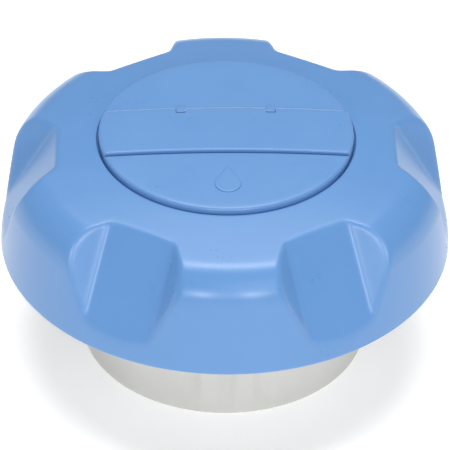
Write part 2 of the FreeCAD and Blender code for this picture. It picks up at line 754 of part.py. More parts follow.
def make_grip_shell():
    """Lobed skin with, inside it, the lock well, the bearing tube, and a boss and rib under each lobe."""
    outer = lobed_solid("grip_outer", 0)
    core = lobed_solid("grip_core", shell_wall)
    top = deck_top + 1
    inner_frame = [
        ring("bearing_tube", crown_radius + tube_gap, crown_radius + tube_gap + tube_wall,
             washer_top + run_gap, floor_top),
        ring("well_tube", well_radius, well_radius + well_wall, floor_level, top),
        cylinder("well_floor", crown_radius + tube_gap + tube_wall, floor_thickness, z=floor_level),
    ]
    lobe_count = int(recess_count.value)
    for i, x, y in round_places(boss_circle, lobe_count, 180.0 / lobe_count):
        inner_frame.append(cylinder(f"boss_{i}", boss_radius, top - plate_top, x, y, plate_top))
        rib = block(f"rib_{i}", well_radius + well_wall / 2, boss_circle,
                    -rib_thickness / 2, rib_thickness / 2, floor_level, top)
        turn = doc.addObject("Part::Compound", f"rib_turned_{i}")
        turn.Links = [rib]
        turn.Placement = Placement(Vector(0, 0, 0), Rotation(Vector(0, 0, 1), 180.0 / lobe_count * (2 * i + 1)))
        inner_frame.append(turn)
    cavity = cut("grip_cavity", core, fuse("inner_frame", inner_frame))
    skin = cut("grip_skin", outer, cavity)

    openings = [
        cylinder("disc_seat_space", disc_radius + disc_gap, top - seat_level, z=seat_level),
        cylinder("well_space", well_radius, top - floor_top, z=floor_top),
        cylinder("lock_hole", lock_radius, floor_thickness, z=floor_level),
        ring("seal_groove", seal_inner() - gasket_fit, seal_inner() + seal_width + gasket_fit,
             seat_level - seal_thickness, top),
    ]
    for i, x, y in round_places(boss_circle, lobe_count, 180.0 / lobe_count):
        openings.append(cylinder(f"boss_hole_{i}", screw_radius, screw_bite, x, y, plate_top))
    for i, x, y in housing_screw_places():
        openings.append(cylinder(f"floor_hole_{i}", screw_radius, floor_thickness, x, y, floor_level))
    return node(cut("shell", skin, fuse("shell_openings", openings)), "grip_shell")


def seal_inner():
    """Inner radius of the weather seal, centred on the ledge under the disc."""
    return well_radius + (disc_radius - well_radius - seal_width) / 2


def housing_screw_places():
    return round_places(carrier_radius - housing_screw_inset, housing_screw_count, 60.0)


def make_screws(name, label, places, level, head_height, shank):
    """A group of equal screws, heads down, drawn as separate solids."""
    screws = []
    for i, x, y in places:
        head = cylinder(f"{name}_head_{i}", screw_head, head_height, x, y, level)
        stem = cylinder(f"{name}_shank_{i}", screw_radius, shank, x, y, level + head_height)
        screws.append(fuse(f"{name}_{i}", [head, stem]))
    node(compound(name, screws), label)


def make_retaining_plate():
    """Ring plate under the cup's flange, screwed to the shell's bosses."""
    skirt_inside = rim_radius - shell_wall - (plate_top - rim_level) * tangent(skirt_draft)
    blank = ring("plate_blank", cup_radius + run_gap, skirt_inside - plate_edge_gap, plate_level, plate_top)
    plate = common("plate_in_shell", blank, lobed_solid("plate_limit", shell_wall + plate_edge_gap / 2))
    lobe_count = int(recess_count.value)
    places = list(round_places(boss_circle, lobe_count, 180.0 / lobe_count))
    holes = [
        cylinder(f"plate_hole_{i}", screw_radius + screw_free, plate_thickness, x, y, plate_level)
        for i, x, y in places
    ]
    node(cut("plate", plate, fuse("plate_holes", holes)), "retaining_plate")
    reach = plate_thickness + screw_bite - screw_free
    make_screws("plate_screw", "plate_screws", places, plate_level - screw_head_height, screw_head_height, reach)


def domed_blank(name, bottom, edge_level):
    """A round blank with the disc's spherical top and rounded upper edge."""
    body = turned(
        name,
        [(0, bottom), (disc_radius, bottom), (disc_radius, edge_level), (0, edge_level + dome_rise)],
        arcs={2: disc_dome},
    )
    round_edges(body, disc_round, lambda edge: is_circle(edge, disc_radius, edge_level))
    return body


def lug_blocks(name, half_extra, front, rear, bottom, top):
    """Two blocks, left and right, at the ends of the flap's knuckle."""
    near = knuckle_half + band_gap - half_extra
    far = knuckle_half + band_gap + lug_width + half_extra
    return [
        block(f"{name}_right", near, far, front, rear, bottom, top),
        block(f"{name}_left", -far, -near, front, rear, bottom, top),
    ]


def make_cover_disc():
    """Domed disc with a slot for the key flap, a hole over the lock, two hinge lugs and a raised drop mark."""
    blank = domed_blank("disc_blank", seat_level, disc_edge_level)
    spigot_outer = well_radius - spigot_fit
    spigot = ring("disc_spigot", spigot_outer - spigot_wall, spigot_outer, seat_level - spigot_height, seat_level)
    beyond = disc_radius + 1
    slot = block("disc_slot", -beyond, beyond, -band_half - band_gap, band_half + band_gap, slot_level, flap_top)
    key_hole = cylinder("disc_key_hole", lock_radius + band_gap, band_floor, z=seat_level)
    lug_limit = domed_blank("lug_limit", seat_level, disc_edge_level + band_rise)
    lug_plan = lug_blocks("disc_lug", 0, hinge_y - knuckle_radius, band_half + band_gap, slot_level, flap_top)
    lugs = common("disc_lugs", lug_limit, fuse("disc_lug_pair", lug_plan))
    body = cut("disc_slotted", fuse("disc_whole", [blank, spigot]), fuse("disc_voids", [slot, key_hole]))
    pin_hole = hinge_cylinder("disc_pin_hole", pin_radius, knuckle_half + band_gap + lug_width)

    mark = new_body("mark")
    drop = raised_sketch(mark, "mark_outline", slot_level)
    drop_outline(drop)
    pad(mark, drop, flap_top - slot_level)
    lid = domed_blank("mark_limit", seat_level, disc_edge_level + mark_rise)
    raised_mark = common("raised_mark", mark, lid)
    solid = fuse("disc_with_lugs", [body, raised_mark, lugs])
    node(cut("disc", solid, pin_hole), "cover_disc")


def drop_outline(sketch):
    """A drop seen from the front: a round lower end and two straight sides tangent to it, meeting at the tip."""
    share = mark_radius / mark_tip
    rise = mark_radius * share
    half = mark_radius * root(1 - share * share)
    centre = -mark_place
    start = (as_size(-1) * half, centre + rise)
    end = (half, centre + rise)
    tip = (as_size(0), centre + mark_tip)
    numbers = [Vector(p[0].value, p[1].value, 0) for p in (start, end, tip)]
    middle = Vector(0, centre.value, 0)
    angles = [math.atan2(p.y - middle.y, p.x - middle.x) for p in numbers[:2]]
    arc = sketch.addGeometry(Part.ArcOfCircle(Part.Circle(middle, Vector(0, 0, 1), mark_radius.value), *angles))
    right = sketch.addGeometry(Part.LineSegment(numbers[1], numbers[2]))
    left = sketch.addGeometry(Part.LineSegment(numbers[2], numbers[0]))
    for one, one_end, other, other_end in ((arc, 2, right, 1), (right, 2, left, 1), (left, 2, arc, 1)):
        sketch.addConstraint(Sketcher.Constraint("Coincident", one, one_end, other, other_end))
    fix_point(sketch, arc, 3, 0, centre)
    fix_point(sketch, right, 1, *end)
    fix_point(sketch, right, 2, *tip)
    fix_point(sketch, left, 2, start[0])


def hinge_cylinder(name, radius, half_length):
    """A cylinder along X on the flap's hinge line."""
    rod = doc.addObject("Part::Cylinder", name)
    rod.Placement = Placement(Vector(0, 0, 0), Rotation(Vector(0, 1, 0), 90))
    bind(rod, Radius=radius, Height=2 * half_length)
    bind(rod, Placement__Base__x=-half_length, Placement__Base__y=hinge_y, Placement__Base__z=hinge_z)
    return rod


def make_key_flap():
    """Raised band over the lock: the disc's dome lifted by the band's rise, bevelled and notched at its hinge."""
    blank = domed_blank("flap_blank", slot_level + band_gap, disc_edge_level + band_rise)
    beyond = disc_radius + 1
    strip = block("flap_strip", -beyond, beyond, -band_half, band_half, slot_level, flap_top + 1)
    bevel = doc.addObject("Part::Box", "flap_bevel")
    bevel.Placement = Placement(Vector(0, 0, 0), Rotation(Vector(1, 0, 0), 45))
    slant = knuckle_radius * root(as_size(0.5))
    bind(bevel, Length=2 * beyond, Width=2 * knuckle_radius, Height=4 * knuckle_radius)
    bind(bevel, Placement__Base__x=-beyond)
    bind(bevel, Placement__Base__y=band_half + slant, Placement__Base__z=hinge_z + knuckle_radius / 2 - slant)
    band = common("flap_band", blank, cut("flap_plan", strip, bevel))
    notches = lug_blocks(
        "flap_notch", band_gap, hinge_y - 2 * knuckle_radius, band_half + 1, slot_level, flap_top + 1
    )
    pin_hole = hinge_cylinder("flap_pin_hole", pin_radius + shaft_gap, knuckle_half + band_gap + lug_width)
    node(cut("flap", band, fuse("flap_voids", notches + [pin_hole])), "key_flap")
    node(hinge_cylinder("hinge_pin", pin_radius, knuckle_half + band_gap + lug_width), "flap_pin")


def make_disc_seal():
    inner = seal_inner()
    node(ring("seal", inner, inner + seal_width, seat_level - seal_thickness, seat_level), "disc_seal")


# ---------------------------------------------------------------------------------------------------------------
# Lock and bolt
# ---------------------------------------------------------------------------------------------------------------


def make_lock_housing():
    collar = lock_radius + lock_flange
    foot = floor_level - circlip_thickness - slide_gap
    body = turned(
        "lock_body",
        [
            (plug_radius + shaft_gap, foot),
            (lock_radius, foot),
            (lock_radius, floor_top),
            (collar, floor_top),
            (collar, floor_top + lock_flange),
            (lock_radius, floor_top + lock_flange),
            (lock_radius, lock_face),
            (plug_radius + shaft_gap, lock_face),
        ],
    )
    node(body, "lock_housing")
    gap_half = circlip_width
    clip = ring("clip_blank", lock_radius, lock_radius + circlip_width, floor_level - circlip_thickness, floor_level)
    gap = block("clip_gap", -lock_radius - 2 * circlip_width, 0, -gap_half, gap_half,
                floor_level - circlip_thickness, floor_level)
    node(cut("clip", clip, gap), "lock_circlip")


def wafer_levels():
    """Undersides of the wafers, spread evenly along the keyed length of the plug."""
    keyed = lock_face - floor_level
    for i in range(wafer_count):
        yield i, floor_level + keyed * ((i + 0.5) / wafer_count) - wafer_thickness / 2


def make_lock_plug():
    """Plug with keyway and wafer slots, its square tail, and the wafers with their key windows."""
    barrel = cylinder("plug_barrel", plug_radius, lock_face - cam_top, z=cam_top)
    tail_half = tail_width / 2
    tail = block("plug_tail", -tail_half, tail_half, -tail_half, tail_half, cam_level, cam_top)
    key_half = keyway_length / 2
    keyway = block(
        "plug_keyway", -key_half, key_half, -keyway_width / 2, keyway_width / 2, floor_level, lock_face + 1
    )
    slots = [keyway]
    wafers = []
    for i, level in wafer_levels():
        half_x, half_y = wafer_length / 2, wafer_width / 2
        slots.append(block(f"wafer_slot_{i}", -half_x - shaft_gap, half_x + shaft_gap,
                           -half_y - shaft_gap, half_y + shaft_gap,
                           level - shaft_gap, level + wafer_thickness + shaft_gap))
        plate = block(f"wafer_plate_{i}", -half_x, half_x, -half_y, half_y, level, level + wafer_thickness)
        window = block(f"wafer_window_{i}", -key_half, key_half, -keyway_width / 2, keyway_width / 2,
                       level, level + wafer_thickness)
        wafers.append(cut(f"wafer_{i}", plate, window))
    node(cut("plug", fuse("plug_whole", [barrel, tail]), fuse("plug_voids", slots)), "lock_plug")
    node(compound("wafers", wafers), "lock_wafers")


def make_lock_cam():
    """Scroll cam: its slot moves the bolt's pin outwards in proportion to the plug's turn."""
    slot_half = bolt_pin_radius + slide_gap
    cam_radius = bolt_pin_start + bolt_travel + slot_half + cam_margin
    disc = cylinder("cam_disc", cam_radius, cam_thickness, z=cam_level)
    tail_half = tail_width / 2
    seat = block("cam_seat", -tail_half, tail_half, -tail_half, tail_half, cam_level, cam_top)

    def pin_centre(turn):
        reach = bolt_pin_start.value + bolt_travel.value * turn
        angle = -turn * math.pi / 2
        return Vector(reach * math.cos(angle), reach * math.sin(angle), 0)

    scroll = Part.Arc(pin_centre(0.0), pin_centre(0.5), pin_centre(1.0)).toShape()
    path = Part.Wire([scroll]).makeOffset2D(slot_half.value, 0, False, False, False)
    slot = doc.addObject("Part::Feature", "cam_slot")
    slot.Shape = Part.Face(path).extrude(Vector(0, 0, cam_thickness.value))
    slot.Placement = Placement(Vector(0, 0, cam_level.value), Rotation())
    node(cut("cam", disc, fuse("cam_voids", [seat, slot])), "lock_cam")


def make_locking_bolt():
    tip = crown_bore - bolt_tip_gap
    bar = block("bolt_bar", -bolt_half, tip, -bolt_half, bolt_half, bolt_level, bolt_top)
    pin = cylinder("bolt_pin", bolt_pin_radius, cam_thickness, bolt_pin_start, 0, bolt_top)
    node(fuse("bolt", [bar, pin]), "locking_bolt")


def make_bolt_housing():
    """Round carrier under the well's floor: room for the cam on top and a channel for the bolt below."""
    level = cover_level + cover_thickness
    blank = cylinder("housing_blank", carrier_radius, floor_level - level, z=level)
    cam_space = bolt_pin_start + bolt_travel + bolt_pin_radius + slide_gap + cam_margin + 2 * run_gap
    room = cylinder("housing_room", cam_space, floor_level - bolt_top, z=bolt_top)
    half = bolt_half + slide_gap
    channel = block(
        "housing_channel", -half, carrier_radius, -half, half, level, bolt_top + slide_gap
    )
    voids = [room, channel]
    cover_voids = []
    places = list(housing_screw_places())
    hole = screw_radius + screw_free
    for i, x, y in places:
        voids.append(cylinder(f"housing_hole_{i}", hole, floor_level - level, x, y, level))
        cover_voids.append(cylinder(f"cover_hole_{i}", hole, cover_thickness, x, y, cover_level))
        cover_voids.append(
            cylinder(f"cover_sink_{i}", screw_head + screw_free, screw_head_height, x, y, cover_level)
        )
    node(cut("housing", blank, fuse("housing_voids", voids)), "bolt_housing")
    lid = cylinder("cover_blank", carrier_radius, cover_thickness, z=cover_level)
    node(cut("cover", lid, fuse("cover_voids", cover_voids)), "bolt_cover")
    shank = floor_top - cover_level - screw_head_height
    make_screws("housing_screw", "bolt_housing_screws", places, cover_level, screw_head_height, shank)


# ---------------------------------------------------------------------------------------------------------------
# Build, check and write
# ---------------------------------------------------------------------------------------------------------------

make_threaded_cup()
make_cup_rings()
make_vent_housing()
make_vent_closing()
make_valves()
make_grip_shell()
make_retaining_plate()
make_cover_disc()
make_key_flap()
make_disc_seal()
make_lock_housing()
make_lock_plug()
make_lock_cam()
make_locking_bolt()
make_bolt_housing()
doc.recompute()

for thing in doc.Objects:
    if "Invalid" in thing.State or "Error" in thing.State:
        raise RuntimeError(f"{thing.Label} failed: {thing.State}")
for piece in nodes:
    if piece.Shape.isNull() or not piece.Shape.isValid() or not piece.Shape.Solids:
        raise RuntimeError(f"{piece.Label} has no sound solid")

os.makedirs("parts", exist_ok=True)
for piece in nodes:
    piece.Shape.exportStep(os.path.join("parts", f"{piece.Label}.step"))
    box = piece.Shape.BoundBox
    print(
        f"{piece.Label:20} {len(piece.Shape.Solids)} solid(s) {piece.Shape.Volume:10.1f} mm3"
        f"  z {box.ZMin:6.2f} to {box.ZMax:6.2f}  r {max(box.XMax, box.YMax):6.2f}"
    )
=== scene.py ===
# %% [markdown]
# # A lockable filler cap
#
# The cap has a blue grip with six finger recesses, a round disc let into its deck with a hinged key flap
# across it, and a grey cup that screws on a filler neck. Below the cup's roof hangs a small breather. The
# engineering model is the fixed frame. Everything here is drawn round it, in metres, in the same place.

# %% Load the frame
import json
import math

import bmesh
import bpy
from mathutils import Matrix, Vector


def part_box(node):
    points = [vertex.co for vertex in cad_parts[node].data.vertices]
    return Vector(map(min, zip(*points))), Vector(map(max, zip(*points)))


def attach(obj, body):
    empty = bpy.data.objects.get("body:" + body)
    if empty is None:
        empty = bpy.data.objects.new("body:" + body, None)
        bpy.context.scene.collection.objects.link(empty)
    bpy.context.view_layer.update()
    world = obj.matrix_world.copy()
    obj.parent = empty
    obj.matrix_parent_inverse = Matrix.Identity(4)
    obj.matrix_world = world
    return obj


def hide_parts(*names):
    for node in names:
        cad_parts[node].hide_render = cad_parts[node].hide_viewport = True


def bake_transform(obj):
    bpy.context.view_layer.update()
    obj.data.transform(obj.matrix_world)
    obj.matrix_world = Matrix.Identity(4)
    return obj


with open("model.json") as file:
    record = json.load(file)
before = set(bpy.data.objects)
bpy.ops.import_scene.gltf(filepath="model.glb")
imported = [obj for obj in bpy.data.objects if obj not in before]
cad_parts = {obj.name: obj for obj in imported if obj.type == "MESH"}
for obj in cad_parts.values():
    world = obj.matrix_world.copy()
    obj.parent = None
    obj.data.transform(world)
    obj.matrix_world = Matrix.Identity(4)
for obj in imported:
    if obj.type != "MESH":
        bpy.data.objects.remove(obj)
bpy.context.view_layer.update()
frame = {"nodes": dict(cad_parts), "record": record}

# %% [markdown]
# ## Sizes
#
# A drawn piece has to sit where its engineering piece sits, so its main sizes are read from the frame's boxes.
# A box doesn't show a bore, a step or a slot inside a piece. Such sizes repeat the engineering model's own
# numbers, in millimetres. Only finish sizes, such as an edge's rounding, are new here.

# %% Read the main sizes
MM = 0.001


def reach(node):
    """Largest X of a node: its outer radius."""
    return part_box(node)[1].x


def foot(node):
    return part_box(node)[0].z


def top(node):
    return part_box(node)[1].z


RIM_RADIUS = reach("grip_shell")
RIM_LEVEL = foot("grip_shell")
DISC_RADIUS = reach("cover_disc")
SEAT_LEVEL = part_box("disc_seal")[1].z
main_sizes = {"rim radius": RIM_RADIUS, "rim level": RIM_LEVEL, "disc radius": DISC_RADIUS}
print({name: round(size / MM, 1) for name, size in main_sizes.items()})

# %% [markdown]
# ## Formulas instead of node boards
#
# Both materials and Geometry Nodes are boards of small boxes joined by wires. A long formula is hard to
# read as wires, so a `Wire` is one output that can be added, multiplied and compared like a number. Each
# operation adds its Math node. `Board.add` makes every other node: its settings first, then the values or
# wires of its sockets.

# %% Wire and Board
class Wire:
    """One output of a node, which can be written in formulas."""

    def __init__(self, board, socket):
        self.board = board
        self.socket = socket

    def maths(self, operation, *others):
        return self.board.add("ShaderNodeMath", {"operation": operation}, self, *others)

    def __add__(self, other):
        return self.maths("ADD", other)

    def __radd__(self, other):
        return self.maths("ADD", other)

    def __sub__(self, other):
        return self.maths("SUBTRACT", other)

    def __rsub__(self, other):
        return self.board.add("ShaderNodeMath", {"operation": "SUBTRACT"}, other, self)

    def __mul__(self, other):
        return self.maths("MULTIPLY", other)

    def __rmul__(self, other):
        return self.maths("MULTIPLY", other)

    def __truediv__(self, other):
        return self.maths("DIVIDE", other)

    def __rtruediv__(self, other):
        return self.board.add("ShaderNodeMath", {"operation": "DIVIDE"}, other, self)

    def __neg__(self):
        return self.maths("MULTIPLY", -1.0)

    def __abs__(self):
        return self.maths("ABSOLUTE")


class Board:
    """A node tree that adds its nodes with one method."""

    def __init__(self, tree):
        self.tree = tree

    def add(self, kind, settings=None, *inputs, output=0, at=None, **named):
        """Inputs go to the first sockets in order, `at` names sockets by number, and the rest go by name."""
        node = self.tree.nodes.new(kind)
        for name, value in (settings or {}).items():
            setattr(node, name, value)
        for index, value in [*enumerate(inputs), *(at or {}).items()]:
            self.plug(node.inputs[index], value)
        for name, value in named.items():
            self.plug(node.inputs[name.replace("_", " ")], value)
        return Wire(self, node.outputs[output])

    def split(self, vector):
        """The X, Y and Z of a vector."""
        axes = self.add("ShaderNodeSeparateXYZ", None, vector).socket.node.outputs
        return [Wire(self, axis) for axis in axes]

    def plug(self, socket, value):
        if isinstance(value, Wire):
            self.tree.links.new(value.socket, socket)
        else:
            socket.default_value = value

# %% [markdown]
# ## Moulded plastic
#
# The grip, the disc and the cup are injection-moulded. Such a skin is satin, not glossy: the mould is
# lightly spark-eroded, which leaves a very fine grain, and the colour and sheen drift a little where the
# melt cooled at different speeds. Three noises of different scales give the drift, the sheen and the grain.

# %% Materials
def new_material(name):
    material = bpy.data.materials.new(name)
    material.use_nodes = True
    board = Board(material.node_tree)
    shader = material.node_tree.nodes["Principled BSDF"]
    where = board.add("ShaderNodeTexCoord", output="Object")
    return material, board, shader, where


def set_shader(shader, **values):
    for name, value in values.items():
        shader.inputs[name.replace("_", " ")].default_value = value


def noise(board, where, scale, detail=2.0, rough=0.5):
    """Noise from 0 to 1, around 0.5; the scale counts features per metre."""
    return board.add("ShaderNodeTexNoise", None, Vector=where, Scale=scale, Detail=detail, Roughness=rough)


def two_tone(board, factor, dark, light):
    """A colour between dark and light. A Mix node has its colours in sockets 6 and 7, and out of 2."""
    colours = {0: factor, 6: (*dark, 1.0), 7: (*light, 1.0)}
    return board.add("ShaderNodeMix", {"data_type": "RGBA"}, output=2, at=colours)


def bump(board, shader, height, depth, strength):
    normal = board.add("ShaderNodeBump", None, Strength=strength, Distance=depth, Height=height)
    board.plug(shader.inputs["Normal"], normal)


def moulded(name, dark, light, sheen, grain=0.16, drift=45.0, specular=0.5):
    """Satin plastic: dark and light are the ends of its slow colour drift, sheen is its mean roughness."""
    material, board, shader, where = new_material(name)
    slow = noise(board, where, drift, 3.0)
    blotch = noise(board, where, 260.0, 2.0, 0.5)
    tone = (slow * 0.7 + blotch * 0.3 - 0.3) * 2.5
    clamped = board.add("ShaderNodeClamp", None, tone)
    board.plug(shader.inputs["Base Color"], two_tone(board, clamped, dark, light))
    board.plug(shader.inputs["Roughness"], blotch * 0.05 + slow * 0.06 + (sheen - 0.055))
    fine = noise(board, where, 2600.0, 1.0)
    waves = noise(board, where, 180.0, 1.0)
    bump(board, shader, fine * 0.6 + waves * 0.4, 0.05 * MM, grain)
    set_shader(shader, Specular_IOR_Level=specular)
    return material


def rubber(name):
    material, board, shader, where = new_material(name)
    dust = noise(board, where, 900.0, 5.0, 0.7)
    soot, dusty = (0.010, 0.010, 0.011), (0.034, 0.034, 0.036)
    board.plug(shader.inputs["Base Color"], two_tone(board, dust, soot, dusty))
    board.plug(shader.inputs["Roughness"], dust * 0.25 + 0.55)
    bump(board, shader, dust, 0.06 * MM, 0.4)
    return material


def metal(name, dark, light, rough, turned=False):
    """Bare or plated metal: turned gives the fine rings of a lathe, otherwise a speckled plating."""
    material, board, shader, where = new_material(name)
    if turned:
        x, y, _ = board.split(where)
        radius = (x * x + y * y).maths("SQRT")
        rings = board.add("ShaderNodeTexNoise", {"noise_dimensions": "1D"}, W=radius * 9000.0, Detail=2.0)
        mark = rings * 0.6 + noise(board, where, 700.0, 3.0) * 0.4
    else:
        mark = noise(board, where, 1500.0, 5.0, 0.65)
    board.plug(shader.inputs["Base Color"], two_tone(board, mark, dark, light))
    board.plug(shader.inputs["Roughness"], mark * 0.2 + rough)
    set_shader(shader, Metallic=1.0)
    bump(board, shader, mark, 0.02 * MM, 0.25)
    return material

# %% Finishes
GRIP_BLUE = moulded(
    "grip_blue", (0.112, 0.268, 0.560), (0.122, 0.282, 0.578), 0.29, grain=0.03, specular=0.44
)
DISC_BLUE = moulded(
    "disc_blue", (0.124, 0.280, 0.572), (0.134, 0.293, 0.590), 0.29, grain=0.05, drift=70.0, specular=0.44
)
CUP_GREY = moulded("cup_grey", (0.60, 0.60, 0.57), (0.65, 0.65, 0.62), 0.42, drift=60.0)
PLATE_GREY = moulded("plate_grey", (0.30, 0.31, 0.31), (0.36, 0.37, 0.37), 0.46)
CARRIER_BLACK = moulded("carrier_black", (0.012, 0.012, 0.013), (0.030, 0.030, 0.032), 0.52, grain=0.4)
SLIP_WHITE = moulded("slip_white", (0.74, 0.74, 0.71), (0.80, 0.80, 0.77), 0.36)
VALVE_WHITE = moulded("valve_white", (0.66, 0.66, 0.62), (0.74, 0.74, 0.70), 0.40)
MEMBRANE_WHITE = moulded("membrane_white", (0.80, 0.80, 0.80), (0.86, 0.86, 0.86), 0.80, grain=0.8)
SEAL_BLACK = rubber("seal_black")
STEEL = metal("steel", (0.48, 0.49, 0.51), (0.66, 0.67, 0.69), 0.26)
LOCK_CHROME = metal("lock_chrome", (0.58, 0.59, 0.61), (0.72, 0.73, 0.75), 0.18, turned=True)
LOCK_BRASS = metal("lock_brass", (0.60, 0.43, 0.17), (0.74, 0.56, 0.26), 0.24, turned=True)

FINISHES = {
    "grip_blue": GRIP_BLUE,
    "disc_blue": DISC_BLUE,
    "cup_grey": CUP_GREY,
    "plate_grey": PLATE_GREY,
    "carrier_black": CARRIER_BLACK,
    "slip_white": SLIP_WHITE,
    "valve_white": VALVE_WHITE,
    "membrane_white": MEMBRANE_WHITE,
    "seal_black": SEAL_BLACK,
    "steel": STEEL,
    "lock_chrome": LOCK_CHROME,
    "lock_brass": LOCK_BRASS,
}
slot_of = {part["node"]: part["material_slot"] for part in frame["record"]["subparts"]}
body_of = {node: body for body, names in frame["record"]["behaviour"]["bodies"].items() for node in names}
for node, item in frame["nodes"].items():
    item.data.materials.clear()
    item.data.materials.append(FINISHES[slot_of[node]])
print("materials on", len(frame["nodes"]), "nodes")

# %% [markdown]
# ## Turned shapes
#
# Most of the cap is round, so most pieces start as an outline of radius and height that is spun about the
# axis. Moulded corners are never sharp, and a rounded corner is what catches the light, so each corner of
# the outline has its own rounding. The faces run the same way for every outline drawn anticlockwise, so
# they all point outwards.

# %% Outlines and spinning
def rounded_outline(corners, step=0.35 * MM, arc_steps=6):
    """Points from (radius, height, rounding) corners, with arcs at the corners and long sides divided."""
    count = len(corners)
    points = []
    for i in range(count):
        before, here, after = (Vector(corners[(i + k) % count][:2]) for k in (-1, 0, 1))
        rounding = corners[i][2]
        if rounding <= 0:
            points.append(here)
            continue
        towards = (before - here).normalized()
        away = (after - here).normalized()
        half_turn = math.acos(max(-1.0, min(1.0, towards.dot(away)))) / 2
        cut = rounding / math.tan(half_turn)
        first, last = here + towards * cut, here + away * cut
        centre = here + (towards + away).normalized() * (rounding / math.sin(half_turn))
        start, end = first - centre, last - centre
        for k in range(arc_steps + 1):
            share = k / arc_steps
            mixed = (start * (1 - share) + end * share).normalized() * rounding
            points.append(centre + mixed)
    divided = []
    for i, point in enumerate(points):
        divided.append(point)
        following = points[(i + 1) % len(points)]
        pieces = int((following - point).length // step)
        divided.extend(point.lerp(following, k / (pieces + 1)) for k in range(1, pieces + 1))
    return divided


def spin(points, segments, closed=True):
    """Vertices and faces of an outline spun about Z. Points on the axis become one vertex each."""
    rings = []
    vertices = []
    for point in points:
        if point[0] < 1e-7:
            rings.append([len(vertices)] * segments)
            vertices.append((0.0, 0.0, point[1]))
            continue
        rings.append(list(range(len(vertices), len(vertices) + segments)))
        for k in range(segments):
            angle = 2 * math.pi * k / segments
            vertices.append((point[0] * math.cos(angle), point[0] * math.sin(angle), point[1]))
    faces = []
    last = len(points) if closed else len(points) - 1
    for i in range(last):
        low, high = rings[i], rings[(i + 1) % len(points)]
        for k in range(segments):
            after = (k + 1) % segments
            face = []
            for index in (low[k], low[after], high[after], high[k]):
                if index not in face:
                    face.append(index)
            if len(face) > 2:
                faces.append(face)
    return vertices, faces

# %% Pieces
def smooth(piece, angle=35.0):
    """Smooth shading that keeps edges sharper than the angle."""
    for face in piece.data.polygons:
        face.use_smooth = True
    piece.data.set_sharp_from_angle(angle=math.radians(angle))
    return piece


def new_piece(name, vertices, faces, material):
    mesh = bpy.data.meshes.new(name)
    mesh.from_pydata(vertices, [], faces)
    mesh.update()
    mesh.materials.append(material)
    piece = bpy.data.objects.new(name, mesh)
    bpy.context.scene.collection.objects.link(piece)
    return piece


def turned(name, corners, material, segments=192, step=1.5 * MM):
    """A round piece from its outline in millimetres: (radius, height, rounding) for each corner."""
    outline = rounded_outline([tuple(v * MM for v in corner) for corner in corners], step)
    return smooth(new_piece(name, *spin(outline, segments), material))


def stand_for(piece, node):
    """Gives a drawn piece the body of the node that it replaces, and hides that node."""
    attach(piece, body_of[node])
    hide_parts(node)
    print(f"{piece.name}: {len(piece.data.polygons)} faces")
    return piece

# %% [markdown]
# ## Geometry Nodes as a workshop
#
# Geometry Nodes draw what follows a rule or repeats. `Jig` builds one tree: it names its inputs, gives them
# out as wires, and closes the tree with Realize Instances and Set Material. `press` runs the tree once on a
# piece and keeps the plain mesh, so the piece holds exactly the shape that was seen.

# %% Jig
class Jig(Board):
    """A Geometry Nodes tree with named inputs."""

    def __init__(self, name, **sizes):
        super().__init__(bpy.data.node_groups.new(name, "GeometryNodeTree"))
        self.identifiers = {}
        self.values = sizes
        panel = self.tree.interface
        panel.new_socket("Geometry", in_out="INPUT", socket_type="NodeSocketGeometry")
        panel.new_socket("Geometry", in_out="OUTPUT", socket_type="NodeSocketGeometry")
        for size, value in sizes.items():
            kind = "NodeSocketInt" if isinstance(value, int) else "NodeSocketFloat"
            socket = panel.new_socket(size, in_out="INPUT", socket_type=kind)
            self.identifiers[size] = socket.identifier
        self.source = self.tree.nodes.new("NodeGroupInput")
        self.drain = self.tree.nodes.new("NodeGroupOutput")
        self.piece = self["Geometry"]

    def __getitem__(self, name):
        return Wire(self, self.source.outputs[name])

    def move(self, offset, material):
        """Ends the tree by moving each point of the piece."""
        moved = self.add("GeometryNodeSetPosition", None, self.piece, Offset=offset)
        self.finish(moved, material)

    def finish(self, geometry, material):
        plain = self.add("GeometryNodeRealizeInstances", None, geometry)
        painted = self.add("GeometryNodeSetMaterial", None, plain, Material=material)
        self.plug(self.drain.inputs[0], painted)

    def press(self, piece):
        """Runs the tree on a piece and leaves its result there as a plain mesh."""
        modifier = piece.modifiers.new(self.tree.name, "NODES")
        modifier.node_group = self.tree
        for name, identifier in self.identifiers.items():
            modifier[identifier] = self.values[name]
        depsgraph = bpy.context.evaluated_depsgraph_get()
        result = bpy.data.meshes.new_from_object(piece.evaluated_get(depsgraph), depsgraph=depsgraph)
        piece.modifiers.remove(modifier)
        old, piece.data = piece.data, result
        result.name = old.name
        bpy.data.meshes.remove(old)
        return piece

# %% [markdown]
# ## The grip
#
# The grip is a turned cap with six finger recesses. Each recess has a flat floor that slopes down and out,
# and sides that lean away from it. One could cut it with booleans, but then every edge would be sharp and
# hard to round. Here the recess is a rule instead: each point of the turned skin moves inwards, square to
# the floor, until it meets the floor or a side. Smooth minimum and maximum in place of plain ones round all
# the edges at once.

# %% Skin of the grip before its recesses
WALL = 2.4 * MM
DECK_CURVE = 208.0 * MM
SHOULDER = 10.4 * MM
DRAFT = math.radians(3.9)
SHELL_HEIGHT = 30.7 * MM
DECK_TOP = RIM_LEVEL + SHELL_HEIGHT
SEAT_RADIUS = DISC_RADIUS + 0.4 * MM
WELL_RADIUS = DISC_RADIUS - 2.2 * MM
WELL_WALL = 2.8 * MM
RIM_EDGE = 0.8 * MM
SEAT_EDGE = 0.35 * MM
SEAT, RIM = SEAT_LEVEL / MM, DISC_RADIUS / MM
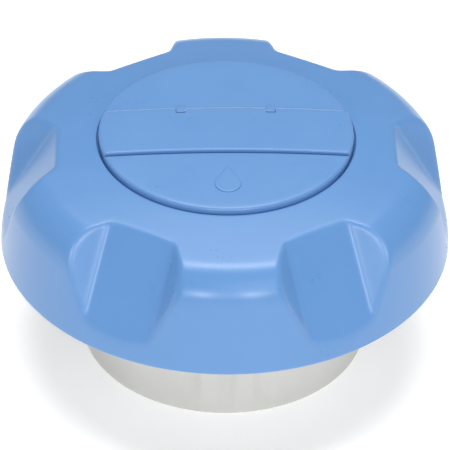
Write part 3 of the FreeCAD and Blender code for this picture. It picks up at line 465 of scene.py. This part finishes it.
# Seat, lock well, its floor with the lock's hole, and the bearing tube below: (radius, height) in millimetres.
# A small ledge at the start keeps the gap round the disc shallow.
WELL = [
    (RIM + 0.4, SEAT + 0.95), (RIM + 0.12, SEAT + 0.8), (RIM + 0.12, SEAT), (RIM - 0.45, SEAT),
    (RIM - 0.45, SEAT - 0.65), (RIM - 1.75, SEAT - 0.65), (RIM - 1.75, SEAT),
    (RIM - 2.2, SEAT), (RIM - 2.2, 45.4), (9.2, 45.4), (9.2, 43.0), (29.6, 43.0), (29.6, 34.9), (29.8, 34.7),
    (31.6, 34.7), (31.8, 34.9), (31.8, 45.0), (RIM + 0.6, 46.6),
]

# %% Lines of the grip's section
def deck_height(radius, inset=0.0):
    sphere = DECK_CURVE - inset
    return DECK_TOP - DECK_CURVE + math.sqrt(sphere**2 - radius**2)


def skirt_radius(level, inset=0.0):
    return RIM_RADIUS - inset / math.cos(DRAFT) - (level - RIM_LEVEL) * math.tan(DRAFT)


def shoulder_arc(inset, steps):
    """Points of the rounding between deck and skirt, from the deck down to the skirt."""
    rounding = SHOULDER - inset
    sphere = DECK_CURVE - SHOULDER
    low, high = 0.0, SHELL_HEIGHT
    for _ in range(60):
        middle = (low + high) / 2
        radius = skirt_radius(RIM_LEVEL + middle, inset) - rounding / math.cos(DRAFT)
        if radius**2 + (SHELL_HEIGHT - DECK_CURVE - middle) ** 2 < sphere**2:
            low = middle
        else:
            high = middle
    centre = Vector((radius, RIM_LEVEL + low))
    deck_angle = math.atan2(centre.y - (DECK_TOP - DECK_CURVE), centre.x)
    for k in range(steps + 1):
        angle = deck_angle + (DRAFT - deck_angle) * k / steps
        yield Vector((centre.x + rounding * math.cos(angle), centre.y + rounding * math.sin(angle)))


def along(start, end, steps, height_of=None):
    """Points between two places, both ends left out; height_of bends the line to a curve."""
    for k in range(1, steps):
        point = start.lerp(end, k / steps)
        yield Vector((point.x, height_of(point.x))) if height_of else point


def grip_outline():
    """The grip's section, anticlockwise from the rim's outer edge up over the deck and back inside."""
    outer = list(shoulder_arc(0.0, 40))[::-1]
    inner = list(shoulder_arc(WALL, 12))
    rim_edge = Vector((RIM_RADIUS, RIM_LEVEL + RIM_EDGE))
    seat_edge = Vector((SEAT_RADIUS + SEAT_EDGE, deck_height(SEAT_RADIUS + SEAT_EDGE)))
    inner_deck = Vector((WELL_RADIUS + WELL_WALL, deck_height(WELL_RADIUS + WELL_WALL, WALL)))
    inner_rim = Vector((skirt_radius(RIM_LEVEL, WALL), RIM_LEVEL))
    corner = 0.5 * math.pi
    points = [
        rim_edge + Vector((math.cos(-a) - 1, math.sin(-a))) * RIM_EDGE
        for a in [corner * k / 5 for k in range(5, 0, -1)]
    ]
    insets = [0.0] * len(points)

    def extend(more, inset):
        more = list(more)
        points.extend(more)
        insets.extend([inset] * len(more))

    extend([rim_edge, *along(rim_edge, outer[0], 40), *outer], 0.0)
    extend(along(outer[-1], seat_edge, 24, deck_height), 0.0)
    seat_centre = seat_edge - Vector((0, SEAT_EDGE))
    for k in range(5):
        angle = corner * k / 4
        extend([seat_centre + Vector((-math.sin(angle), math.cos(angle))) * SEAT_EDGE], 0.0)
    extend((Vector(place) * MM for place in WELL), 0.0)
    extend([inner_deck], WALL)
    extend(along(inner_deck, inner[0], 10, lambda r: deck_height(r, WALL)), WALL)
    extend([*inner, *along(inner[-1], inner_rim, 12), inner_rim], WALL)
    return points, insets

# %% Turn the skin
GRIP_SEGMENTS = 480
outline, insets = grip_outline()
grip = new_piece("grip_skin", *spin(outline, GRIP_SEGMENTS), GRIP_BLUE)
depth_below_skin = grip.data.attributes.new("inset", "FLOAT", "POINT")
depth_below_skin.data.foreach_set("value", [inset for inset in insets for _ in range(GRIP_SEGMENTS)])
print("grip outline:", len(outline), "points")

# %% [markdown]
# The rule works in one recess's own half section. `fold` brings every point to the nearest recess. Then the
# floor is a line of known slope, and a side is that line lifted by how far the point lies beyond the
# floor's half width.

# %% Finger recesses
RECESS_TOP = RIM_RADIUS - 13.1 * MM
recesses = Jig(
    "finger_recesses",
    Recesses=6,
    Floor_distance=RECESS_TOP,
    Floor_level=deck_height(RECESS_TOP),
    Floor_slope=math.radians(60.0),
    Half_width=8.2 * MM,
    Side_spread=math.radians(52.0),
    Floor_rounding=1.1 * MM,
    Edge_rounding=1.15 * MM,
)


def build_recesses(jig):
    x, y, z = jig.split(jig.add("GeometryNodeInputPosition"))
    inset = jig.add("GeometryNodeInputNamedAttribute", {"data_type": "FLOAT"}, "inset")
    radius = (x * x + y * y).maths("SQRT")
    angle = y.maths("ARCTAN2", x)
    fold = angle.maths("PINGPONG", math.pi / jig["Recesses"])
    sin_slope, cos_slope = jig["Floor_slope"].maths("SINE"), jig["Floor_slope"].maths("COSINE")
    sin_side, cos_side = jig["Side_spread"].maths("SINE"), jig["Side_spread"].maths("COSINE")
    spread = cos_side / sin_side
    out = radius * fold.maths("COSINE")
    aside = radius * fold.maths("SINE")
    above = sin_slope * (out - jig["Floor_distance"]) + cos_slope * (z - jig["Floor_level"]) + inset
    half = jig["Half_width"] + inset * (1 - sin_side) / cos_side
    sink = sin_slope * sin_slope * fold.maths("COSINE") + cos_slope * cos_slope
    to_floor = above / sink
    to_side = (above - (aside - half) * spread) / (sink - sin_slope * fold.maths("SINE") * spread)
    meet = to_floor.maths("SMOOTH_MIN", to_side, jig["Floor_rounding"])
    move = meet.maths("SMOOTH_MAX", 0.0, jig["Edge_rounding"])
    aside_share = -move * sin_slope
    inward = (aside_share * x / radius, aside_share * y / radius, -move * cos_slope)
    jig.move(jig.add("ShaderNodeCombineXYZ", None, *inward), GRIP_BLUE)


build_recesses(recesses)
recesses.press(grip)
smooth(grip, 40.0)
stand_for(grip, "grip_shell")

# %% [markdown]
# ## Small makers
#
# Three more ways to make a closed piece. `loft` joins sections that all have the same number of points.
# `pillow` raises a flat outline to a domed top with a rounded edge. `ring_of` repeats a piece round the
# axis with Geometry Nodes, so a screw or a thread lug is drawn once.

# %% Loft and pillow
def loft(sections):
    """Vertices and faces of a closed body through sections, each anticlockwise seen from the last one."""
    count = len(sections[0])
    vertices = [tuple(point) for section in sections for point in section]
    faces = [list(range(count))[::-1], list(range(len(vertices) - count, len(vertices)))]
    for row in range(len(sections) - 1):
        low, high = row * count, (row + 1) * count
        for k in range(count):
            after = (k + 1) % count
            faces.append([low + k, low + after, high + after, high + k])
    return vertices, faces


def inset_outline(outline, distance):
    """A flat outline, anticlockwise, moved inwards square to its sides."""
    moved = []
    for i, here in enumerate(outline):
        before, after = outline[i - 1], outline[(i + 1) % len(outline)]
        first, second = (here - before).normalized(), (after - here).normalized()
        inward = Vector((-first.y - second.y, first.x + second.x)).normalized()
        square = max(0.5, Vector((-first.y, first.x)).dot(inward))
        moved.append(here + inward * (distance / square))
    return moved


def pillow(outline, bottom, top_of, rounding, rings=10, arc_steps=6):
    """A body on a flat outline: upright sides, a rounded upper edge and a top of height top_of(x, y)."""
    middle = sum(outline, Vector((0, 0))) / len(outline)
    sections = [[(p.x, p.y, bottom) for p in outline]]
    for k in range(arc_steps + 1):
        angle = 0.5 * math.pi * k / arc_steps
        inner = inset_outline(outline, rounding * (1 - math.cos(angle)))
        drop = rounding * (1 - math.sin(angle))
        sections.append([(p.x, p.y, top_of(p.x, p.y) - drop) for p in inner])
    edge = inset_outline(outline, rounding)
    for k in range(1, rings):
        shrunk = [middle.lerp(p, 1 - k / rings) for p in edge]
        sections.append([(p.x, p.y, top_of(p.x, p.y)) for p in shrunk])
    return loft(sections)

# %% Bodies joined, turned and repeated
def merged(*bodies):
    """One list of vertices and faces from several bodies."""
    vertices, faces = [], []
    for more_vertices, more_faces in bodies:
        shift = len(vertices)
        vertices.extend(more_vertices)
        faces.extend([index + shift for index in face] for face in more_faces)
    return vertices, faces


def turned_body(corners, segments=192, step=1.5):
    outline = rounded_outline([tuple(v * MM for v in corner) for corner in corners], step * MM)
    return spin(outline, segments)


def ring_of(piece, count, start, material):
    """Repeats a piece round the axis; start is the first one's angle."""
    jig = Jig(f"{piece.name}_ring", Count=count, Start=start)
    spots = jig.add("GeometryNodePoints", None, jig["Count"])
    turn = jig.add("GeometryNodeInputIndex") * (2 * math.pi) / jig["Count"] + jig["Start"]
    heading = jig.add("ShaderNodeCombineXYZ", None, 0.0, 0.0, turn)
    copies = jig.add("GeometryNodeInstanceOnPoints", None, spots, Instance=jig.piece, Rotation=heading)
    jig.finish(copies, material)
    return jig.press(piece)


def join(whole, *others):
    """Adds other pieces' meshes to the first piece."""
    mesh = bmesh.new()
    for piece in (whole, *others):
        mesh.from_mesh(piece.data)
    mesh.to_mesh(whole.data)
    mesh.free()
    for piece in others:
        bpy.data.objects.remove(piece)
    return whole

# %% [markdown]
# ## The disc and its key flap
#
# Disc and flap share one large dome, so their heights come from one function. The disc is a flat base with
# two pads on it, and the flap lies in the channel between the pads. The flap is a loft across the disc:
# each section is the band's profile there, shorter at the rear where a hinge lug stands in its notch.

# %% Cover disc
DOME = 400.0 * MM
DOME_TOP = top("key_flap") - 0.5 * MM
SLOT_LEVEL = SEAT_LEVEL + 1.8 * MM
SLOT_HALF = 8.55 * MM
BAND_HALF = 8.3 * MM
BAND_RISE = 0.5 * MM
DISC_ROUND = 0.75 * MM
LUG_NEAR, LUG_FAR = 9.38 * MM, 11.42 * MM
LUG_FRONT, LUG_REAR = 6.8 * MM, 8.9 * MM
LUG_ROUND = 0.15 * MM
NOTCH_NEAR, NOTCH_FAR = 9.3 * MM, 11.5 * MM
NOTCH_FRONT = 6.44 * MM
REAR_PAD_ROUND = 0.5 * MM
MARK_RISE, MARK_ROUND = 0.3 * MM, 0.16 * MM


def dome(x, y):
    return DOME_TOP - DOME + math.sqrt(DOME**2 - x**2 - y**2)


def band_top(x, y):
    return dome(x, y) + BAND_RISE


def line(start, end, steps):
    return [Vector(start).lerp(Vector(end), k / steps) for k in range(steps)]


def segment_outline(radius, chord, side):
    """A circle's part beyond a chord at |y| = chord, on the front (side -1) or the rear (side 1)."""
    half = math.acos(chord / radius)
    middle = side * 0.5 * math.pi
    arc = [middle + half * (2 * k / 96 - 1) for k in range(97)]
    rim = [Vector((radius * math.cos(a), radius * math.sin(a))) for a in arc]
    return rim + line(rim[-1], rim[0], 48)[1:]


def drop_outline(radius, tip, centre):
    """A drop: a round end towards the front and two straight sides that meet at the tip."""
    lean = math.acos(radius / tip)
    arc = [0.5 * math.pi + lean + (2 * math.pi - 2 * lean) * k / 36 for k in range(37)]
    edge = [Vector((radius * math.cos(a), centre + radius * math.sin(a))) for a in arc]
    peak = Vector((0, centre + tip))
    return edge + line(edge[-1], peak, 8)[1:] + line(peak, edge[0], 8)


def box_outline(low_x, high_x, low_y, high_y):
    corners = [(low_x, low_y), (high_x, low_y), (high_x, high_y), (low_x, high_y)]
    return [p for i in range(4) for p in line(corners[i], corners[(i + 1) % 4], 4)]

# %% Put the disc together
base = turned_body(
    [
        (9.25, SEAT, 0.1), (RIM - 4.3, SEAT, 0), (RIM - 4.3, SEAT - 3, 0.3), (RIM - 2.4, SEAT - 3, 0.3),
        (RIM - 2.4, SEAT, 0), (RIM - 0.03, SEAT, 0.2), (RIM - 0.03, SEAT + 1.8, 0.1), (9.25, SEAT + 1.8, 0.2),
    ]
)
sunk = SLOT_LEVEL - 0.3 * MM
pads = [
    pillow(segment_outline(DISC_RADIUS, SLOT_HALF, side), sunk, dome, rounding)
    for side, rounding in ((-1, DISC_ROUND), (1, REAR_PAD_ROUND))
]
lugs = [
    pillow(box_outline(low, high, LUG_FRONT, LUG_REAR), sunk, band_top, LUG_ROUND, 3, 3)
    for low, high in ((LUG_NEAR, LUG_FAR), (-LUG_FAR, -LUG_NEAR))
]
drop = drop_outline(3.0 * MM, 6.2 * MM, -20.4 * MM)
mark = pillow(drop, SLOT_LEVEL + 1 * MM, lambda x, y: dome(x, y) + MARK_RISE, MARK_ROUND, 6, 4)
disc = smooth(new_piece("disc", *merged(base, *pads, *lugs, mark), DISC_BLUE), 40.0)
stand_for(disc, "cover_disc")

# %% Section of the key flap
FLAP_BOTTOM = foot("key_flap")
KNUCKLE = 0.62 * MM
FRONT_EDGE = 0.4 * MM


def flap_section(place, rear, rear_edge, end_drop):
    """The band's profile across it: place(y) gives X, rear is its rear edge's Y."""
    points = [(-BAND_HALF, None)]
    for k in range(7):
        angle = 0.5 * math.pi * k / 6
        points.append((-BAND_HALF + FRONT_EDGE * (1 - math.cos(angle)), FRONT_EDGE * (1 - math.sin(angle))))
    first, last = -BAND_HALF + FRONT_EDGE, rear - rear_edge
    points += [(first + (last - first) * k / 30, 0.0) for k in range(1, 30)]
    for k in range(7):
        angle = 0.5 * math.pi * k / 6
        points.append((rear - rear_edge * (1 - math.sin(angle)), rear_edge * (1 - math.cos(angle))))
    points.append((rear, None))
    points += [(rear + (-BAND_HALF - rear) * k / 8, None) for k in range(1, 8)]
    section = []
    for y, depth in points:
        x = place(y)
        section.append((x, y, FLAP_BOTTOM if depth is None else band_top(x, y) - depth - end_drop))
    return section

# %% Loft the key flap
def flap_sections():
    sections = []
    flat_half = 12.0 * MM

    def rim_place(side, share, back):
        def place(y):
            end = math.sqrt(DISC_RADIUS**2 - y**2) - back
            return side * (flat_half + (end - flat_half) * share)
        return place

    for side in (-1, 1):
        ends = []
        for k in range(7):
            angle = 0.5 * math.pi * k / 6
            back, drop = DISC_ROUND * (1 - math.cos(angle)), DISC_ROUND * (1 - math.sin(angle))
            ends.append(flap_section(rim_place(side, 1.0, back), BAND_HALF, KNUCKLE, drop))
        for k in range(11, 0, -1):
            ends.append(flap_section(rim_place(side, k / 12, DISC_ROUND), BAND_HALF, KNUCKLE, 0.0))
        if side < 0:
            sections += ends
            hair = 0.01 * MM
            columns = [(-flat_half, False), (-NOTCH_FAR, False)]
            columns += [(-NOTCH_FAR + hair, True), (-NOTCH_NEAR - hair, True)]
            columns += [(NOTCH_NEAR * k / 8, False) for k in range(-8, 9)]
            columns += [(-x, notched) for x, notched in columns[3::-1]]
            for x, notched in columns:
                rear, rear_edge = (NOTCH_FRONT, LUG_ROUND) if notched else (BAND_HALF, KNUCKLE)
                sections.append(flap_section(lambda y, x=x: x, rear, rear_edge, 0.0))
        else:
            sections += ends[::-1]
    return sections


flap = smooth(new_piece("flap", *loft(flap_sections()), DISC_BLUE), 40.0)
stand_for(flap, "key_flap")

# %% [markdown]
# ## The cup
#
# The cup is turned, and three more things are added to it. Shallow upright flutes are a rule again: the
# outer wall moves inwards near each flute's line, less and less towards its ends. Thread lugs and the teeth
# of the lock ring are each drawn once and repeated.

# %% Turned cup
# Radii and levels in millimetres
GUIDE_BORE, THREAD_BORE, CUP_OUT, FLANGE_OUT = 30.2, 30.9, 33.0, 37.2
VENT_HOLE, RING_IN, RING_OUT = 8.0, 26.0, 29.0
ROOF_UNDER, FLANGE_UNDER, ROOF_TOP, NOTCH_FLOOR, RING_TOP = 31.0, 31.3, 33.6, 36.5, 40.5

cup = turned(
    "cup",
    [
        (30.6, 0.0, 0.15), (CUP_OUT, 0.0, 1.8), (CUP_OUT, FLANGE_UNDER, 0.35), (FLANGE_OUT, FLANGE_UNDER, 0.35),
        (FLANGE_OUT, ROOF_TOP, 0.4), (RING_OUT, ROOF_TOP, 0.3), (RING_OUT, NOTCH_FLOOR, 0.2),
        (RING_IN, NOTCH_FLOOR, 0.2), (RING_IN, ROOF_TOP, 0.3), (VENT_HOLE, ROOF_TOP, 0.2),
        (VENT_HOLE, ROOF_UNDER, 0.2), (THREAD_BORE, ROOF_UNDER, 0.3), (THREAD_BORE, 7.4, 0.3),
        (GUIDE_BORE, 6.9, 0.2), (GUIDE_BORE, 0.4, 0.15),
    ],
    CUP_GREY,
    segments=432,
    step=1.7 * MM,
)

# %% Flutes
flutes = Jig(
    "flutes",
    Groups=3,
    Step=math.radians(14.2),
    Tool_radius=3.0 * MM,
    Depth=0.75 * MM,
    Softness=0.25 * MM,
    Foot=2.2 * MM,
    Head=28.6 * MM,
    Fade=5.0 * MM,
)


def build_flutes(jig):
    x, y, z = jig.split(jig.add("GeometryNodeInputPosition"))
    radius = (x * x + y * y).maths("SQRT")
    group = (y.maths("ARCTAN2", x) + 0.5 * math.pi).maths("PINGPONG", math.pi / jig["Groups"])
    across = radius * group.maths("MINIMUM", abs(group - jig["Step"]))
    groove = jig["Depth"] - across * across / (2 * jig["Tool_radius"])
    hollow = groove.maths("SMOOTH_MAX", 0.0, jig["Softness"])
    soft = {"interpolation_type": "SMOOTHSTEP"}
    up = jig.add("ShaderNodeMapRange", soft, z, jig["Foot"], jig["Foot"] + jig["Fade"])
    down = jig.add("ShaderNodeMapRange", soft, jig["Head"] - z, 0.0, jig["Fade"] * 0.3)
    skin = radius.maths("GREATER_THAN", (CUP_OUT - 0.5) * MM)
    sink = hollow * up * down * skin
    inward = jig.add("ShaderNodeCombineXYZ", None, -sink * x / radius, -sink * y / radius, 0.0)
    jig.move(inward, CUP_GREY)


build_flutes(flutes)
flutes.press(cup)

# %% Thread lugs and the teeth of the lock ring
THREAD_RISE, THREAD_ROOT = 1.8, 31.4
THREAD_LEVEL, THREAD_LEAD = 12.5, 12.0


def thread_lug():
    """One lug, in millimetres: a trapezium that climbs the bore over 100 degrees and runs out at its ends."""
    sections = []
    for k in range(81):
        share = k / 80
        angle = math.radians(100.0 * (share - 0.5))
        level = THREAD_LEVEL + THREAD_LEAD * angle / (2 * math.pi)
        grown = min(1.0, 8 * share + 0.15, 8 * (1 - share) + 0.15)
        crest = THREAD_BORE - THREAD_RISE * grown
        lower = [(THREAD_ROOT, -1.6), (crest + 0.3, -0.95), (crest, -0.6)]
        upper = [(radius, -height) for radius, height in lower[::-1]]
        section = []
        for radius, height in lower + upper:
            place = Vector((radius * math.cos(angle), radius * math.sin(angle), level + height * grown))
            section.append(place * MM)
        sections.append(section)
    return loft(sections)


def ring_tooth():
    """One tooth of the lock ring, between two parallel-sided notches."""
    def side(radius, sign):
        return math.radians(15.0) + sign * (math.radians(15.0) - math.asin(3.1 * MM / radius))

    inner, outer = RING_IN * MM, RING_OUT * MM
    edge = []
    for radius, first, last in ((outer, -1, 1), (inner, 1, -1)):
        start, end = side(radius, first), side(radius, last)
        for k in range(17):
            angle = start + (end - start) * k / 16
            edge.append(Vector((radius * math.cos(angle), radius * math.sin(angle))))
    return pillow(edge, (NOTCH_FLOOR - 0.3) * MM, lambda x, y: RING_TOP * MM, 0.3 * MM, 4, 4)


lugs_on_bore = ring_of(new_piece("thread_lug", *thread_lug(), CUP_GREY), 3, 0.0, CUP_GREY)
teeth = ring_of(new_piece("ring_tooth", *ring_tooth(), CUP_GREY), 12, 0.0, CUP_GREY)
smooth(join(cup, lugs_on_bore, teeth), 38.0)
stand_for(cup, "threaded_cup")

# %% [markdown]
# ## What shows from below
#
# Turned over, the cap shows a ring that holds the grip on the cup, six screws, and the rubber seal deep in
# the cup.

# %% Retaining ring and gasket
plate = turned(
    "retaining_ring",
    [(33.3, 28.6, 0.35), (48.6, 28.6, 0.35), (48.6, 31.0, 0.2), (33.3, 31.0, 0.2)],
    PLATE_GREY,
)
stand_for(plate, "retaining_plate")

gasket = turned(
    "gasket",
    [(25.45, 28.6, 0.6), (30.85, 28.6, 0.6), (30.85, 31.0, 0.15), (25.45, 31.0, 0.15)],
    SEAL_BLACK,
    step=0.8 * MM,
)
stand_for(gasket, "neck_gasket")

# %% Screws with crossed recesses
def cut_away(piece, cutter):
    """Takes the cutter out of the piece and removes the cutter."""
    modifier = piece.modifiers.new("cut", "BOOLEAN")
    modifier.operation = "DIFFERENCE"
    modifier.solver = "EXACT"
    modifier.object = cutter
    depsgraph = bpy.context.evaluated_depsgraph_get()
    result = bpy.data.meshes.new_from_object(piece.evaluated_get(depsgraph), depsgraph=depsgraph)
    piece.modifiers.remove(modifier)
    piece.data = result
    bpy.data.objects.remove(cutter)
    return piece


def cross_cutter(reach_out, half_width, low, high):
    """Two crossed wedges, wide at the bottom, for a screwdriver's recess."""
    arms = []
    for turn in (0.0, 0.5 * math.pi):
        sections = []
        for level, share in ((low, 1.0), (high, 0.45)):
            length, width = reach_out * share, half_width * (0.6 + 0.4 * share)
            corners = [(-length, -width), (length, -width), (length, width), (-length, width)]
            sections.append([Matrix.Rotation(turn, 3, "Z") @ Vector((*corner, level)) for corner in corners])
        arms.append(new_piece("screw_arm", *loft(sections), STEEL))
    return arms


screw = turned(
    "plate_screw",
    [
        (0.0, 27.2, 0), (2.6, 27.2, 0.8), (2.6, 28.6, 0.15), (1.25, 28.6, 0.1), (1.25, 39.2, 0.2),
        (0.0, 39.75, 0),
    ],
    STEEL,
    segments=48,
)
for arm in cross_cutter(1.5 * MM, 0.34 * MM, 27.0 * MM, 28.1 * MM):
    cut_away(screw, arm)
screw.data.transform(Matrix.Translation((42.5 * MM, 0, 0)))
ring_of(screw, 6, math.radians(30.0), STEEL)
smooth(screw, 30.0)
stand_for(screw, "plate_screws")

# %% [markdown]
# ## The lock
#
# Under the flap shows the round face of the lock. Its edges are turned with a small radius, so they catch a
# line of light.

# %% Lock housing
LOCK_FACE = top("lock_housing") / MM
barrel = turned(
    "lock_barrel",
    [
        (6.06, 42.0, 0.1), (9.0, 42.0, 0.3), (9.0, 45.4, 0), (11.0, 45.4, 0.2), (11.0, 47.4, 0.3),
        (9.0, 47.4, 0.2), (9.0, LOCK_FACE, 0.45), (6.06, LOCK_FACE, 0.25),
    ],
    LOCK_CHROME,
    segments=128,
)
stand_for(barrel, "lock_housing")

# %% [markdown]
# ## The springs of the breather
#
# A spring is held at both ends by pieces that move apart or together, so it has to stretch. Each spring
# here is a copy of the frame's coil with its doubled points merged; it is tied to neither body and stays as
# drawn.

# %% Springs copied from the frame's coils
for node, lower_body, upper_body in (
    ("pressure_spring", "pressure_valve", "closure"),
    ("vacuum_spring", "pressure_valve", "vacuum_valve"),
):
    coil = bmesh.new()
    coil.from_mesh(frame["nodes"][node].data)
    bmesh.ops.remove_doubles(coil, verts=coil.verts, dist=0.002 * MM)
    vertices = [tuple(vertex.co) for vertex in coil.verts]
    faces = [[vertex.index for vertex in face.verts] for face in coil.faces]
    coil.free()
    spring = smooth(new_piece(f"{node}_coil", vertices, faces, STEEL), 50.0)
    foot(node)
    top(node)
    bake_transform(spring)
    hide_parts(node)
    print(f"{spring.name}: {len(faces)} faces, from {foot(node) / MM:.1f} to {top(node) / MM:.1f} mm")

# %% [markdown]
# ## Floor, light and camera
#
# The cap is shown like a catalogue piece on a white floor. A large soft light overhead and one in front
# give the even shade. A narrow strip above draws the line along the shoulder, and two small low lights draw
# the thin lines along the walls of the front recesses. A long lens from well back keeps the round shape
# true.

# %% Floor and surroundings
paper, board, shader, where = new_material("studio_white")
cloudy = two_tone(board, noise(board, where, 3.0), (0.93, 0.93, 0.93), (0.95, 0.95, 0.95))
board.plug(shader.inputs["Base Color"], cloudy)
set_shader(shader, Roughness=0.9, Emission_Color=(1.0, 1.0, 1.0, 1.0), Emission_Strength=0.34)
floor_corners = [(-6, -6, 0), (6, -6, 0), (6, 6, 0), (-6, 6, 0)]
sweep = new_piece("studio_floor", floor_corners, [(0, 1, 2, 3)], paper)

world = bpy.data.worlds.new("studio")
bpy.context.scene.world = world
world.use_nodes = True
set_shader(world.node_tree.nodes["Background"], Color=(1.0, 1.0, 1.0, 1.0), Strength=0.25)

# %% Lights
def soft_light(name, place, size, power, aim=(0, 0, 0.03)):
    data = bpy.data.lights.new(name, "AREA")
    data.shape = "RECTANGLE"
    data.size, data.size_y = size
    data.energy = power
    lamp = bpy.data.objects.new(name, data)
    lamp.location = place
    lamp.rotation_euler = (Vector(aim) - Vector(place)).to_track_quat("-Z", "Y").to_euler()
    bpy.context.scene.collection.objects.link(lamp)


soft_light("overhead", (0.0, 0.35, 1.4), (1.2, 1.2), 12.6)
soft_light("key", (0.4, -1.5, 1.2), (1.0, 1.0), 5.0)
soft_light("edge_strip", (0.0, 0.0, 1.0), (0.7, 0.12), 3.4)
for side in (-1, 1):
    soft_light("low_glint", (side * 0.24, -1.1, 0.40), (0.10, 0.14), 2.2)

# %% Camera
ELEVATION = math.radians(36.5)
AZIMUTH = math.radians(-1.6)
ROLL = math.radians(0.76)
DISTANCE = 1.2
FOCAL_LENGTH = 413.5
aim = Vector((0, 0, 30.4 * MM))
level_back = Vector((math.sin(AZIMUTH), -math.cos(AZIMUTH), 0)) * math.cos(ELEVATION)
back = level_back + Vector((0, 0, math.sin(ELEVATION)))
lens = bpy.data.cameras.new("catalogue")
lens.sensor_width = 36.0
lens.lens = FOCAL_LENGTH
camera = bpy.data.objects.new("catalogue", lens)
camera.location = aim + back * DISTANCE
looking = (-back).to_track_quat("-Z", "Y").to_matrix()
camera.rotation_euler = (looking @ Matrix.Rotation(ROLL, 3, "Z")).to_euler()
bpy.context.scene.collection.objects.link(camera)
bpy.context.scene.camera = camera
bpy.context.scene.view_settings.view_transform = "Standard"
